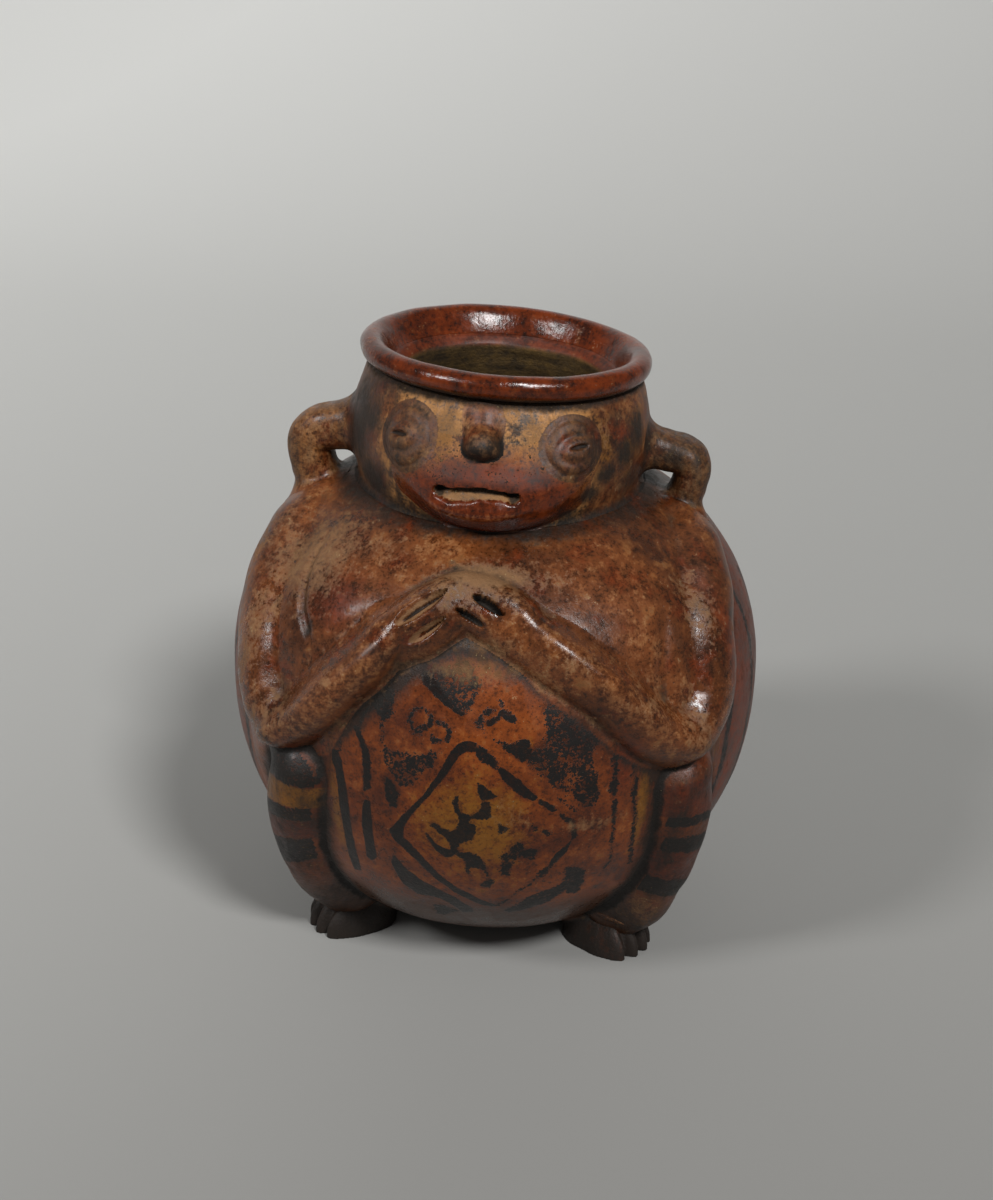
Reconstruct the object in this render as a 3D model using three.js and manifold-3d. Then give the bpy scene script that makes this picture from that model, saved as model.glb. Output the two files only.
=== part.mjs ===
// Footed effigy jar with two suspension lugs, in burnished and slip-painted clay.
// The jar is laid out as its potter builds it: a bowl, a shoulder, a neck that is the figure's head and a
// rolled rim, with coils and pellets of clay luted on for the limbs, the feet, the lugs and the face.
// Millimetres. +Z is up, the figure faces -Y, and the jar stands on z = 0 with its axis on the Z axis.
// Left is the side at -X. An azimuth is in degrees from the front, towards +X.
import * as THREE from "three";
import Module from "manifold-3d";
import { mergeVertices } from "three/addons/utils/BufferGeometryUtils.js";

// Vessel wall
const bodyRadius = 74.4; // at the widest ring
const baseRadius = 22; // of the flat that the jar stands on
const bellyHeight = 73; // of the widest ring, where the bowl and the shoulder are joined
const shoulderHeight = 131; // of the seam between the shoulder and the neck
const shoulderMouthRadius = 40.5;
const wallThickness = 7;
const floorThickness = 8;
const floorRadius = 16; // of the flat inside the bowl
const bowlRoundness = 2.06; // exponents of the superellipses that the walls follow
const shoulderRoundness = 2.25;
const liningRoundness = 2.3;

// Head, which is the neck of the jar, with its levels counted from the shoulder seam
const neckHeight = 31.3;
const neckFootRadius = 38.4;
const neckTopRadius = 36.6;
const neckSwell = 3.2; // by which the sides of the head are rounded
const neckLiningRadius = 31;
const throatRadius = 27.2; // of the narrowest ring inside, where the funnel meets the bare lining
const throatLevel = 28.6;
const narrowingLevel = 9; // where the lining starts to narrow
const funnelRadius = 29.8; // of the funnel where the rim meets the head
const leanSpan = 12; // height below the rim over which the head takes up the rim's lean
const jawRise = 3.4; // how far the jaw stands out at the front
const jawHalfAngle = 76;

// Rim
const rimRadius = 39.3;
const rollRadius = 3.2; // of the rolled lip
const rimHeight = 6.5;
const rimLean = 2.6; // degrees by which the rim dips towards the right
const rimBackLean = 2; // degrees by which it dips towards the back
const rimOffset = 0.8; // by which the hand-rolled rim is off centre, towards the right

// Chest, the raised ground above the folded arms
const chestRise = 3;
const chestEdge = 10; // width over which the chest rises
const chestTopFade = 22;
const chestHalfAngle = 46;
const chestSideFade = 16;
const armLineShare = 0.947; // of the shoulder's height, where the lines of the two arms meet
const leftArmDropShare = 0.0092; // of the shoulder's height, lost for each degree of azimuth
const rightArmDropShare = 0.0079;

// Limbs, as coils: half width along the wall, and rise above it
const leftUpperArmHalfWidth = 12.1;
const rightUpperArmHalfWidth = 10.6;
const upperArmRise = 5.4;
const leftForearmHalfWidth = 6.7;
const rightForearmHalfWidth = 7.3;
const forearmRise = 6.8;
const handHalfWidth = 8.3;
const handRise = 5.6;
const handEndShare = 0.4; // how far a hand's rounded ends reach, as a share of its half width
const legHalfWidth = 10.4;
const legRise = 7.2;
const limbRoot = 7; // how deep a coil's whole section would reach below the wall
const leftSlitHalfWidth = 2; // of the shallow cuts between the fingers of the left hand
const leftSlitDepth = 1.5;
const rightSlitHalfWidth = 1.4; // of the deep ones of the right hand
const rightSlitDepth = 2.9;

// Feet
const footCentreRadius = 46;
const footHalfLength = 12.5; // from the middle to the toes
const footHalfWidth = 9.8;
const footHeight = 11.5;
const footToeOut = 4; // degrees by which the toes point outwards of the leg
const toeNotchHalfWidth = 0.9;
const toeNotchDepth = 3.5;
const toeNotchSpacing = 4.4;

// Lugs, each a strap from the head to the shoulder round a hole for the cord
const leftLugReachShare = 0.792; // of the body's radius, from the axis to the outer corner
const rightLugReachShare = 0.774;
const leftLugTopLevel = 18;
const rightLugTopLevel = 14.6;
const leftLugHalfThickness = 6.6;
const rightLugHalfThickness = 5.3;
const lugHalfDepth = 7; // front to back
const lugFootShare = 0.9; // of the thickness, left at the end on the shoulder
const lugFootLevel = -9; // of the end of the strap's own line, inside the shoulder

// Face
const eyeRadius = 7.4;
const eyeRise = 1.5;
const eyeLevel = 20.8;
const eyeAzimuth = 31;
const lidHalfLength = 4.4;
const lidHalfHeight = 2.6;
const lidRise = 2.9; // above the wall
const lidSlitHalfHeight = 0.7;
const lidSlitDepth = 1.5;
const noseHalfWidth = 5;
const noseRise = 6.6;
const noseTopLevel = 28.4;
const noseTipLevel = 21;
const noseAzimuth = -1.5;
const muzzleHalfHeight = 9.4;
const muzzleRise = 4.4;
const muzzleLevel = 8.1;
const muzzleCurl = 3.2; // how much higher the ends of the muzzle are than its middle
const muzzleTilt = 1.2; // how much lower its right end is than its middle
const muzzleAzimuth = 2.5;
const muzzleHalfAngle = 26.5; // of its line, which its rounded ends run past
const mouthAzimuth = -2.4;
const mouthHalfAngle = 10.6;
const mouthHalfHeight = 1.6;
const mouthLevel = 10.6;
const mouthDepth = 3.2;

// Clearances and facets
const seatGap = 0.3; // between a luted piece and what it sits on
const cutOverrun = 9; // how far a cutter runs past what it cuts
const faceRoot = 3.5; // how deep a face pellet's whole section would reach below the wall
const slopeStep = 0.4; // span over which the slope of a wall is taken
const weldTolerance = 0.0002;
const wallSegments = 48;
const coilSides = 12;
const coilStations = 11;
const capRings = 3;

const rimSeamHeight = shoulderHeight + neckHeight;
const DEG = Math.PI / 180;
const wasm = await Module();
wasm.setup();

function smoothstep(low, high, x) {
  const t = Math.min(1, Math.max(0, (x - low) / (high - low)));
  return t * t * (3 - 2 * t);
}

// A point at an azimuth, a radius from the axis and a height.
function place(azimuth, radius, z) {
  return new THREE.Vector3(radius * Math.sin(azimuth * DEG), -radius * Math.cos(azimuth * DEG), z);
}

// The share of its full radius that a superellipse has at a share of its full height.
function swell(share, roundness) {
  return (1 - Math.min(1, Math.max(0, share)) ** roundness) ** (1 / roundness);
}

// Radius at a height of a superellipse that is widest at rootHeight and has endRadius at endHeight.
function domeRadius(z, rootHeight, rootRadius, endHeight, endRadius, roundness) {
  const closing = (endHeight - rootHeight) / swell(endRadius / rootRadius, roundness);
  return rootRadius * swell((z - rootHeight) / closing, roundness);
}

function chestHeight(azimuth, z) {
  const drop = azimuth < 0 ? leftArmDropShare : rightArmDropShare;
  const armLine = shoulderHeight * (armLineShare - drop * Math.abs(azimuth));
  const front = 1 - smoothstep(chestHalfAngle, chestHalfAngle + chestSideFade, Math.abs(azimuth));
  const top = 1 - smoothstep(shoulderHeight - chestTopFade, shoulderHeight, z);
  return chestRise * front * top * smoothstep(-chestEdge / 2, chestEdge / 2, z - armLine);
}

// Outer radius of the bowl and the shoulder.
function bodyOuter(azimuth, z) {
  const round =
    z < bellyHeight
      ? domeRadius(z, bellyHeight, bodyRadius, 0, baseRadius, bowlRoundness)
      : domeRadius(z, bellyHeight, bodyRadius, shoulderHeight, shoulderMouthRadius, shoulderRoundness);
  return round + chestHeight(azimuth, z);
}

// Outer radius of the head: a rounded collar with a jaw that stands out at the front.
function headOuter(azimuth, z) {
  const share = Math.min(1, Math.max(0, (z - shoulderHeight) / neckHeight));
  const taper = neckFootRadius + (neckTopRadius - neckFootRadius) * share;
  const side = taper + neckSwell * Math.sin(Math.PI * share);
  const front = Math.cos(Math.min(90, (Math.abs(azimuth) * 90) / jawHalfAngle) * DEG) ** 2;
  return side + jawRise * front * Math.sin(Math.PI * (0.35 + 0.65 * share));
}

function bowlLining(azimuth, z) {
  const innerRadius = bodyRadius - wallThickness;
  return domeRadius(z, bellyHeight, innerRadius, floorThickness, floorRadius, liningRoundness);
}

function shoulderLining(azimuth, z) {
  const innerRadius = bodyRadius - wallThickness;
  return domeRadius(z, bellyHeight, innerRadius, shoulderHeight, neckLiningRadius, liningRoundness);
}

function neckLining(azimuth, z) {
  const level = z - shoulderHeight;
  const narrowing = smoothstep(narrowingLevel, throatLevel, level);
  const funnel = Math.max(0, level - throatLevel) / (neckHeight - throatLevel);
  const narrowed = neckLiningRadius + (throatRadius - neckLiningRadius) * narrowing;
  return narrowed + (funnelRadius - throatRadius) * funnel;
}

// The rim leans to the right and back, and the top of the head with it.
function leaned(p) {
  const share = smoothstep(rimSeamHeight - leanSpan, rimSeamHeight, p.z);
  const dip = Math.tan(rimLean * DEG) * p.x + Math.tan(rimBackLean * DEG) * p.y;
  return new THREE.Vector3(p.x + rimOffset * share, p.y, p.z - dip * share);
}

// Unit normal of a wall whose outer radius is a function of azimuth and height.
function wallNormal(radiusAt, azimuth, z) {
  const slope = (radiusAt(azimuth, z + slopeStep) - radiusAt(azimuth, z - slopeStep)) / (2 * slopeStep);
  return place(azimuth, 1, -slope).normalize();
}

// A closed surface through rings of points, each ring the same length and turning the same way. The end
// rings are closed by a fan or, where loop is true, joined to each other.
function ringSurface(rings, loop) {
  const count = rings[0].length;
  const positions = [];
  const triangle = (a, b, c) => positions.push(...a, ...b, ...c);
  rings.forEach((low, i) => {
    if (i + 1 === rings.length && !loop) return;
    const high = rings[(i + 1) % rings.length];
    low.forEach((p, j) => {
      const next = (j + 1) % count;
      triangle(p, low[next], high[next]);
      triangle(p, high[next], high[j]);
    });
  });
  if (!loop) {
    const middle = (ring) => ring.reduce((sum, p) => sum.add(p), new THREE.Vector3()).divideScalar(count);
    const [first, last] = [rings[0], rings.at(-1)];
    first.forEach((p, j) => triangle(middle(first), first[(j + 1) % count], p));
    last.forEach((p, j) => triangle(middle(last), p, last[(j + 1) % count]));
  }
  const geometry = new THREE.BufferGeometry();
  return geometry.setAttribute("position", new THREE.Float32BufferAttribute(positions, 3));
}

function toSolid(geometry) {
  geometry.deleteAttribute("normal");
  geometry.deleteAttribute("uv");
  const merged = mergeVertices(geometry, weldTolerance);
  const vertProperties = new Float32Array(merged.attributes.position.array);
  const triVerts = new Uint32Array(merged.index.array);
  return new wasm.Manifold(new wasm.Mesh({ numProp: 3, vertProperties, triVerts }));
}

function toGeometry(solid) {
  const { vertProperties, triVerts, numProp } = solid.getMesh();
  const positions = [];
  for (const v of triVerts) positions.push(...vertProperties.subarray(v * numProp, v * numProp + 3));
  const geometry = new THREE.BufferGeometry();
  geometry.setAttribute("position", new THREE.Float32BufferAttribute(positions, 3));
  geometry.computeVertexNormals();
  return geometry;
}

// One ring of points round the axis, with a radius and a height for each azimuth.
function axisRing(radiusAt, heightAt) {
  return Array.from({ length: wallSegments }, (_, j) => {
    const azimuth = -180 + (360 * j) / wallSegments;
    return place(azimuth, radiusAt(azimuth), heightAt(azimuth));
  });
}

// Heights from one level to another, drawn together towards the end where bunched is true.
function levels(from, to, count, bunched) {
  return Array.from({ length: count + 1 }, (_, i) => {
    const share = i / count;
    return from + (to - from) * (bunched ? Math.sin((share * Math.PI) / 2) : share);
  });
}

function wallRings(radiusAt, heights) {
  return heights.map((z) => axisRing((azimuth) => radiusAt(azimuth, z), () => z));
}

const bowlLevels = levels(bellyHeight, 0, 10, true).reverse();
const shoulderLevels = levels(bellyHeight, shoulderHeight, 11, false);
const neckLevels = levels(shoulderHeight, rimSeamHeight, 6, false);

function makeBowl() {
  const lining = wallRings(bowlLining, levels(bellyHeight, floorThickness, 7, true));
  return ringSurface([...wallRings(bodyOuter, bowlLevels), ...lining], false);
}

function makeShoulder() {
  const lining = wallRings(shoulderLining, levels(shoulderHeight, bellyHeight, 6, false));
  return ringSurface([...wallRings(bodyOuter, shoulderLevels), ...lining], true);
}

function makeNeck() {
  const throatHeight = shoulderHeight + throatLevel;
  const lining = wallRings(neckLining, [rimSeamHeight, ...levels(throatHeight, shoulderHeight, 3, false)]);
  const rings = [...wallRings(headOuter, neckLevels), ...lining];
  return ringSurface(rings.map((ring) => ring.map(leaned)), true);
}

// The rim's outline goes up from the neck, round the rolled lip and down the funnel.
function makeRim(grow = 0) {
  const rollCentreRadius = rimRadius - rollRadius;
  const rollCentreRise = rimHeight - rollRadius;
  const roll = rollRadius + grow;
  const outline = [[neckTopRadius + grow, -grow]];
  for (let angle = -65; angle <= 145; angle += 30) {
    const [out, up] = [roll * Math.cos(angle * DEG), roll * Math.sin(angle * DEG)];
    outline.push([rollCentreRadius + out, rollCentreRise + up]);
  }
  outline.push(
    [funnelRadius + (rollCentreRadius - funnelRadius) * 0.3, rollCentreRise * 0.7], [funnelRadius, -grow],
  );
  const rings = outline.map(([radius, rise]) => axisRing(() => radius, () => rimSeamHeight + rise));
  return ringSurface(rings.map((ring) => ring.map(leaned)), true);
}

// A wall as one closed solid, grown outwards by the seat gap, to cut what sits on it.
function envelope(radiusAt, heights) {
  const rings = wallRings(radiusAt, heights);
  rings.forEach((ring, i) =>
    ring.forEach((p) => {
      const azimuth = Math.atan2(p.x, -p.y) / DEG;
      p.addScaledVector(wallNormal(radiusAt, azimuth, heights[i]), seatGap);
    }),
  );
  return toSolid(ringSurface(rings, false));
}

// A closed surface along a line of stations. Each station has a centre, the direction across it, the
// direction out of the wall, its half width, its rise above the centre and its root below it.
function sweep(stations) {
  const rings = stations.map(({ centre, across, out, wide, rise, root }) =>
    Array.from({ length: coilSides }, (_, j) => {
      const angle = (2 * Math.PI * j) / coilSides;
      const lift = Math.sin(angle);
      const tall = lift > 0 ? rise : root;
      return centre.clone().addScaledVector(across, wide * Math.cos(angle)).addScaledVector(out, tall * lift);
    }),
  );
  return toSolid(ringSurface(rings, false));
}

// Shares of a round cap: how far out each ring lies and how full it is, from the body outwards.
const capShares = Array.from({ length: capRings }, (_, i) => {
  const angle = ((i + 0.55) / capRings) * 90 * DEG;
  return [Math.sin(angle), Math.cos(angle)];
});

// A coil of clay laid along a wall. Each stop is [azimuth, height, share of the half width, share of the
// rise]. The coil's ends are rounded off over capShare of their half width.
function coil(radiusAt, stops, { halfWidth, rise, root, grow = 0, capShare = 1, stations = coilStations }) {
  const curve = (points) => new THREE.CatmullRomCurve3(points, false, "centripetal");
  const path = curve(stops.map(([azimuth, z]) => new THREE.Vector3(azimuth * DEG, z / shoulderHeight, 0)));
  const pathAt = (t) => {
    const p = path.getPoint(t);
    return { azimuth: p.x / DEG, z: p.y * shoulderHeight };
  };
  const shareAt = (t, index) => {
    const at = t * (stops.length - 1);
    const low = Math.min(stops.length - 2, Math.floor(at));
    const mix = smoothstep(0, 1, at - low);
    return (stops[low][index] ?? 1) * (1 - mix) + (stops[low + 1][index] ?? 1) * mix;
  };
  const onWall = (t) => {
    const { azimuth, z } = pathAt(t);
    return place(azimuth, radiusAt(azimuth, z), z);
  };
  const station = (t, outward, full) => {
    const { azimuth, z } = pathAt(t);
    const reach = 1 / (2 * stations);
    const along = onWall(Math.min(1, t + reach)).sub(onWall(Math.max(0, t - reach))).normalize();
    const out = wallNormal(radiusAt, azimuth, z);
    out.addScaledVector(along, -out.dot(along)).normalize();
    return {
      centre: onWall(t).addScaledVector(along, outward * capShare * (halfWidth * shareAt(t, 2) + grow)),
      across: new THREE.Vector3().crossVectors(out, along),
      out,
      wide: (halfWidth * shareAt(t, 2) + grow) * full,
      rise: (rise * shareAt(t, 3) + grow) * full,
      root: (root + grow) * full,
    };
  };
  const body = Array.from({ length: stations }, (_, i) => station(i / (stations - 1), 0, 1));
  const start = capShares.map(([far, full]) => station(0, -far, full)).reverse();
  const end = capShares.map(([far, full]) => station(1, far, full));
  return sweep([...start, ...body, ...end]);
}

// Paths of the limbs along the wall: azimuth, share of the shoulder's height, then shares of the coil's
// half width and rise where they aren't full.
const limbStopShares = {
  left: {
    upperArm: [
      [-82, 0.95, 0.7, 0.6], [-74, 0.905, 0.9, 0.9], [-65, 0.83], [-58.5, 0.755], [-54, 0.69],
      [-48.5, 0.635, 0.85, 1],
    ],
    forearm: [
      [-41, 0.588, 1.15, 1], [-35.8, 0.624], [-26.3, 0.725], [-21.3, 0.778], [-17.8, 0.82, 0.95, 0.85],
    ],
    hand: [[-15.5, 0.832, 0.9, 0.85], [-12.5, 0.85], [-9, 0.872], [-5.3, 0.889]],
    leg: [
      [-39, 0.5, 0.95, 0.9], [-41.5, 0.42], [-44.5, 0.33], [-47, 0.24, 1, 1.1], [-49.5, 0.16, 0.95, 1.3],
      [-51, 0.1, 0.85, 1.3],
    ],
  },
  right: {
    upperArm: [
      [83, 0.95, 0.7, 0.6], [75, 0.905, 0.9, 0.9], [66.5, 0.85], [60.5, 0.79], [58, 0.724],
      [55.5, 0.665, 0.95, 1], [50.5, 0.625, 0.8, 1],
    ],
    forearm: [[45, 0.6, 1.1, 1], [38.4, 0.635], [28.2, 0.732], [18.8, 0.799], [13, 0.833, 0.95, 0.85]],
    hand: [[11, 0.851, 0.85, 0.8], [7.5, 0.869], [4.5, 0.882], [0.5, 0.894]],
    leg: [
      [48.5, 0.495, 0.95, 0.9], [50, 0.42], [51.5, 0.33], [52.5, 0.24, 1, 1.2], [53, 0.16, 0.95, 1.6],
      [53.5, 0.1, 0.85, 1.6],
    ],
  },
};

// The two cuts between the fingers of each hand, from end to end.
const slitStopShares = {
  left: [[[-14.8, 0.846], [-8.2, 0.888]], [[-12.4, 0.817], [-7.6, 0.852]]],
  right: [[[0.6, 0.893], [5.4, 0.876]], [[-2.4, 0.872], [3, 0.847]]],
};

const footAzimuths = { left: -53, right: 53 };

const upperArmHalfWidths = { left: leftUpperArmHalfWidth, right: rightUpperArmHalfWidth };
const forearmHalfWidths = { left: leftForearmHalfWidth, right: rightForearmHalfWidth };
const slitSizes = {
  left: { halfWidth: leftSlitHalfWidth, depth: leftSlitDepth },
  right: { halfWidth: rightSlitHalfWidth, depth: rightSlitDepth },
};

function limbSizes(side, kind) {
  return {
    upperArm: { halfWidth: upperArmHalfWidths[side], rise: upperArmRise },
    forearm: { halfWidth: forearmHalfWidths[side], rise: forearmRise },
    hand: { halfWidth: handHalfWidth, rise: handRise, capShare: handEndShare },
    leg: { halfWidth: legHalfWidth, rise: legRise },
  }[kind];
}

function limbStops(stopShares) {
  return stopShares.map(([azimuth, height, ...fullness]) => [azimuth, height * shoulderHeight, ...fullness]);
}

function makeLimb(side, kind, grow = 0) {
  const stops = limbStops(limbStopShares[side][kind]);
  return coil(bodyOuter, stops, { ...limbSizes(side, kind), root: limbRoot, grow });
}

// A cut into a piece that stands above a wall, from one stop to the other.
function makeSlit(radiusAt, stops, halfWidth, surfaceRise, depth) {
  const raised = (azimuth, z) => radiusAt(azimuth, z) + surfaceRise;
  return coil(raised, stops, { halfWidth, rise: cutOverrun, root: depth, stations: 4 });
}

// A rounded foot that points outwards, flat on the ground, with notches between its toes.
function makeFoot(side, grow = 0) {
  const azimuth = footAzimuths[side];
  const toes = new THREE.Matrix4().makeRotationZ((azimuth + Math.sign(azimuth) * footToeOut) * DEG);
  const forward = new THREE.Vector3(0, -1, 0).applyMatrix4(toes);
  const across = new THREE.Vector3(1, 0, 0).applyMatrix4(toes);
  const out = new THREE.Vector3(0, 0, 1);
  const middle = place(azimuth, footCentreRadius, 0);
  const stations = Array.from({ length: coilStations }, (_, i) => {
    const angle = ((i + 0.5) / coilStations) * 180 * DEG;
    const full = Math.sin(angle) ** 0.6;
    return {
      centre: middle.clone().addScaledVector(forward, -(footHalfLength + grow) * Math.cos(angle)),
      across,
      out,
      wide: (footHalfWidth + grow) * full,
      rise: (footHeight + grow) * full,
      root: footHeight * full,
    };
  });
  const ground = new THREE.BoxGeometry(bodyRadius * 2, bodyRadius * 2, footHeight * 2);
  let foot = sweep(stations).subtract(toSolid(ground.translate(0, 0, -footHeight)));
  if (grow > 0) return foot;
  for (const toe of [-1, 0, 1]) {
    const notch = new THREE.CylinderGeometry(toeNotchHalfWidth, toeNotchHalfWidth, footHeight * 3, 8);
    notch.rotateX(90 * DEG).translate(toe * toeNotchSpacing, -footHalfLength, footHeight / 2);
    foot = foot.subtract(toSolid(notch.applyMatrix4(toes).translate(middle.x, middle.y, 0)));
  }
  return foot;
}

const lugSizes = {
  left: { sign: -1, reachShare: leftLugReachShare, topLevel: leftLugTopLevel, h: leftLugHalfThickness },
  right: { sign: 1, reachShare: rightLugReachShare, topLevel: rightLugTopLevel, h: rightLugHalfThickness },
};

// A strap, of half thickness h, that leaves the head, turns a corner and comes down on the shoulder.
function makeLug(side, grow = 0) {
  const { sign, reachShare, topLevel, h } = lugSizes[side];
  const top = shoulderHeight + topLevel - h;
  const corner = bodyRadius * reachShare - h;
  const foot = shoulderHeight + lugFootLevel;
  const path = new THREE.CatmullRomCurve3(
    [
      [neckLiningRadius, top + h * 0.45], [corner - h * 1.3, top], [corner - h * 0.35, top - h * 0.25],
      [corner + h * 0.05, top - h * 0.7], [corner - h * 0.05, top - h * 1.7], [corner - h * 0.5, foot],
    ].map(([x, z]) => new THREE.Vector3(sign * x, 0, z)),
  );
  const across = new THREE.Vector3(0, 1, 0);
  const stations = path.getSpacedPoints(coilStations).map((centre, i) => {
    const t = i / coilStations;
    const thickness = h * (1 + (lugFootShare - 1) * t) + grow;
    const out = new THREE.Vector3().crossVectors(path.getTangentAt(t), across).normalize();
    return { centre, across, out, wide: lugHalfDepth + grow, rise: thickness, root: thickness };
  });
  return sweep(stations);
}

// A solid shaped on the upright head, leaned with it.
function onHead(solid) {
  return solid.warp((vertex) => {
    leaned(new THREE.Vector3(...vertex)).toArray(vertex);
  });
}

function facePellet(azimuth, level, halfLength, halfHeight, rise) {
  const span = (halfLength * 0.3) / (headOuter(azimuth, shoulderHeight + level) * DEG);
  const stops = [[azimuth - span, shoulderHeight + level], [azimuth + span, shoulderHeight + level]];
  return coil(headOuter, stops, {
    halfWidth: halfHeight, rise, root: faceRoot, capShare: (halfLength * 0.7) / halfHeight, stations: 3,
  });
}

function makeEye(sign) {
  const azimuth = sign * eyeAzimuth;
  const disc = facePellet(azimuth, eyeLevel, eyeRadius, eyeRadius, eyeRise);
  const lid = facePellet(azimuth, eyeLevel, lidHalfLength, lidHalfHeight, lidRise);
  const span = (lidHalfLength * 0.6) / (headOuter(azimuth, shoulderHeight + eyeLevel) * DEG);
  const z = shoulderHeight + eyeLevel;
  const ends = [[azimuth - span, z], [azimuth + span, z]];
  return disc.add(lid).subtract(makeSlit(headOuter, ends, lidSlitHalfHeight, lidRise, lidSlitDepth));
}

function makeNose() {
  const stops = [
    [noseAzimuth, shoulderHeight + noseTopLevel, 0.8, 0.35], [noseAzimuth, shoulderHeight + noseTipLevel],
  ];
  return coil(headOuter, stops, {
    halfWidth: noseHalfWidth, rise: noseRise, root: faceRoot, capShare: 0.45, stations: 4,
  });
}

function makeMuzzle() {
  const shares = [-1, -0.6, -0.2, 0.2, 0.6, 1];
  const stops = shares.map((share) => [
    muzzleAzimuth + share * muzzleHalfAngle,
    shoulderHeight + muzzleLevel + muzzleCurl * share ** 2 - muzzleTilt * share,
    1 - 0.5 * Math.abs(share) ** 2.4, 1 - 0.5 * Math.abs(share) ** 2.4,
  ]);
  const band = coil(headOuter, stops, {
    halfWidth: muzzleHalfHeight, rise: muzzleRise, root: faceRoot, capShare: 0.7,
  });
  const z = shoulderHeight + mouthLevel;
  const ends = [-1, 0, 1].map((share) => [mouthAzimuth + share * mouthHalfAngle, z]);
  return band.subtract(makeSlit(headOuter, ends, mouthHalfHeight, muzzleRise, mouthDepth));
}

// Clay colours, as sRGB
const redSlip = { color: 0x8a3d22, roughness: 0.32 };
const brownSlip = { color: 0x6b3a24, roughness: 0.4 };
const wornSlip = { color: 0x7d5a3a, roughness: 0.5 };
const paintedSlip = { color: 0x9a4a26, roughness: 0.38 };

const group = new THREE.Group();

function addPiece(name, geometry, look) {
  const material = new THREE.MeshStandardMaterial({ metalness: 0, ...look });
  const mesh = new THREE.Mesh(geometry, material);
  mesh.name = name;
  group.add(mesh);
}

function finished(geometry) {
  geometry.computeVertexNormals();
  return geometry;
}

addPiece("base_bowl", finished(makeBowl()), paintedSlip);
addPiece("shoulder_wall", finished(makeShoulder()), brownSlip);
addPiece("neck_wall", finished(makeNeck()), wornSlip);
addPiece("rim_collar", finished(makeRim()), redSlip);

const bodyEnvelope = envelope(bodyOuter, [...bowlLevels.slice(0, -1), ...shoulderLevels]);
const headEnvelope = onHead(envelope(headOuter, [shoulderHeight - cutOverrun, ...neckLevels.slice(1)]));

// Luting goes on in this order, and each piece is cut back from the wall and the pieces before it.
const seated = [bodyEnvelope, headEnvelope, toSolid(makeRim(seatGap))];
function lute(name, look, solid, grown) {
  const cut = seated.reduce((rest, earlier) => rest.subtract(earlier), solid);
  seated.push(grown);
  addPiece(name, toGeometry(cut), look);
}

for (const side of ["left", "right"]) {
  lute(`${side}_upper_arm`, brownSlip, makeLimb(side, "upperArm"), makeLimb(side, "upperArm", seatGap));
  lute(`${side}_forearm`, brownSlip, makeLimb(side, "forearm"), makeLimb(side, "forearm", seatGap));
}
for (const side of ["left", "right"]) {
  const slits = slitStopShares[side].map((ends) =>
    makeSlit(bodyOuter, limbStops(ends), slitSizes[side].halfWidth, handRise, slitSizes[side].depth),
  );
  const hand = slits.reduce((solid, slit) => solid.subtract(slit), makeLimb(side, "hand"));
  lute(`${side}_hand`, wornSlip, hand, makeLimb(side, "hand", seatGap));
}
for (const side of ["left", "right"]) {
  lute(`${side}_foot`, wornSlip, makeFoot(side), makeFoot(side, seatGap));
  lute(`${side}_leg`, paintedSlip, makeLimb(side, "leg"), makeLimb(side, "leg", seatGap));
}
for (const side of ["left", "right"])
  lute(`${side}_lug`, brownSlip, makeLug(side), makeLug(side, seatGap));
const [muzzle, nose] = [onHead(makeMuzzle()), onHead(makeNose())];
lute("lip_band", redSlip, muzzle, muzzle);
lute("nose", wornSlip, nose, nose);
for (const [side, sign] of [["left", -1], ["right", 1]]) {
  const eye = onHead(makeEye(sign));
  lute(`${side}_eye_disc`, wornSlip, eye, eye);
}

export default group;
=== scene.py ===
"""Footed effigy jar with two cord lugs, in burnished and slip-painted clay, dressed on its CAD frame.

The wall is laid out as the CAD lays it out: an outer radius for each azimuth and height. Every coil and
pellet that the potter luted on is a height above that wall, blended into what was there before it, so each
piece is one closed sheet of clay whose edge runs out under the surface. Lugs and feet stand free of the
wall, so they are blended as solids instead. Lengths are millimetres until a mesh is made.
An azimuth is in degrees from the front, -Y, towards +X. Left is the side at -X.
"""

import math

import bpy
import numpy as np
from mathutils import Matrix, Vector


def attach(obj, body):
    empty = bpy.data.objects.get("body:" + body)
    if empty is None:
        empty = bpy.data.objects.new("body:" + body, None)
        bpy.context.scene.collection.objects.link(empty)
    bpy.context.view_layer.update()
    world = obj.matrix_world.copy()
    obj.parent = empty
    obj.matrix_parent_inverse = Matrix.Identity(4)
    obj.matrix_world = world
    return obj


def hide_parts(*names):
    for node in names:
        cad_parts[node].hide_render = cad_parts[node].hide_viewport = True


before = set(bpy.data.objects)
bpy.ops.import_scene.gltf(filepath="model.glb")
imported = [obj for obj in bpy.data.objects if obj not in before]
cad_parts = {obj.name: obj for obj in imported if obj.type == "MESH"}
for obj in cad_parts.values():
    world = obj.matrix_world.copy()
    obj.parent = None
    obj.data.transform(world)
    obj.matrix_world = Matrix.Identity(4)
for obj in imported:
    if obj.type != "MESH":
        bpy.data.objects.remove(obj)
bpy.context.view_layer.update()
MM = 0.001
DEG = math.pi / 180
FINE = 1.0  # spacing of every grid, as a multiple of its full one

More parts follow.
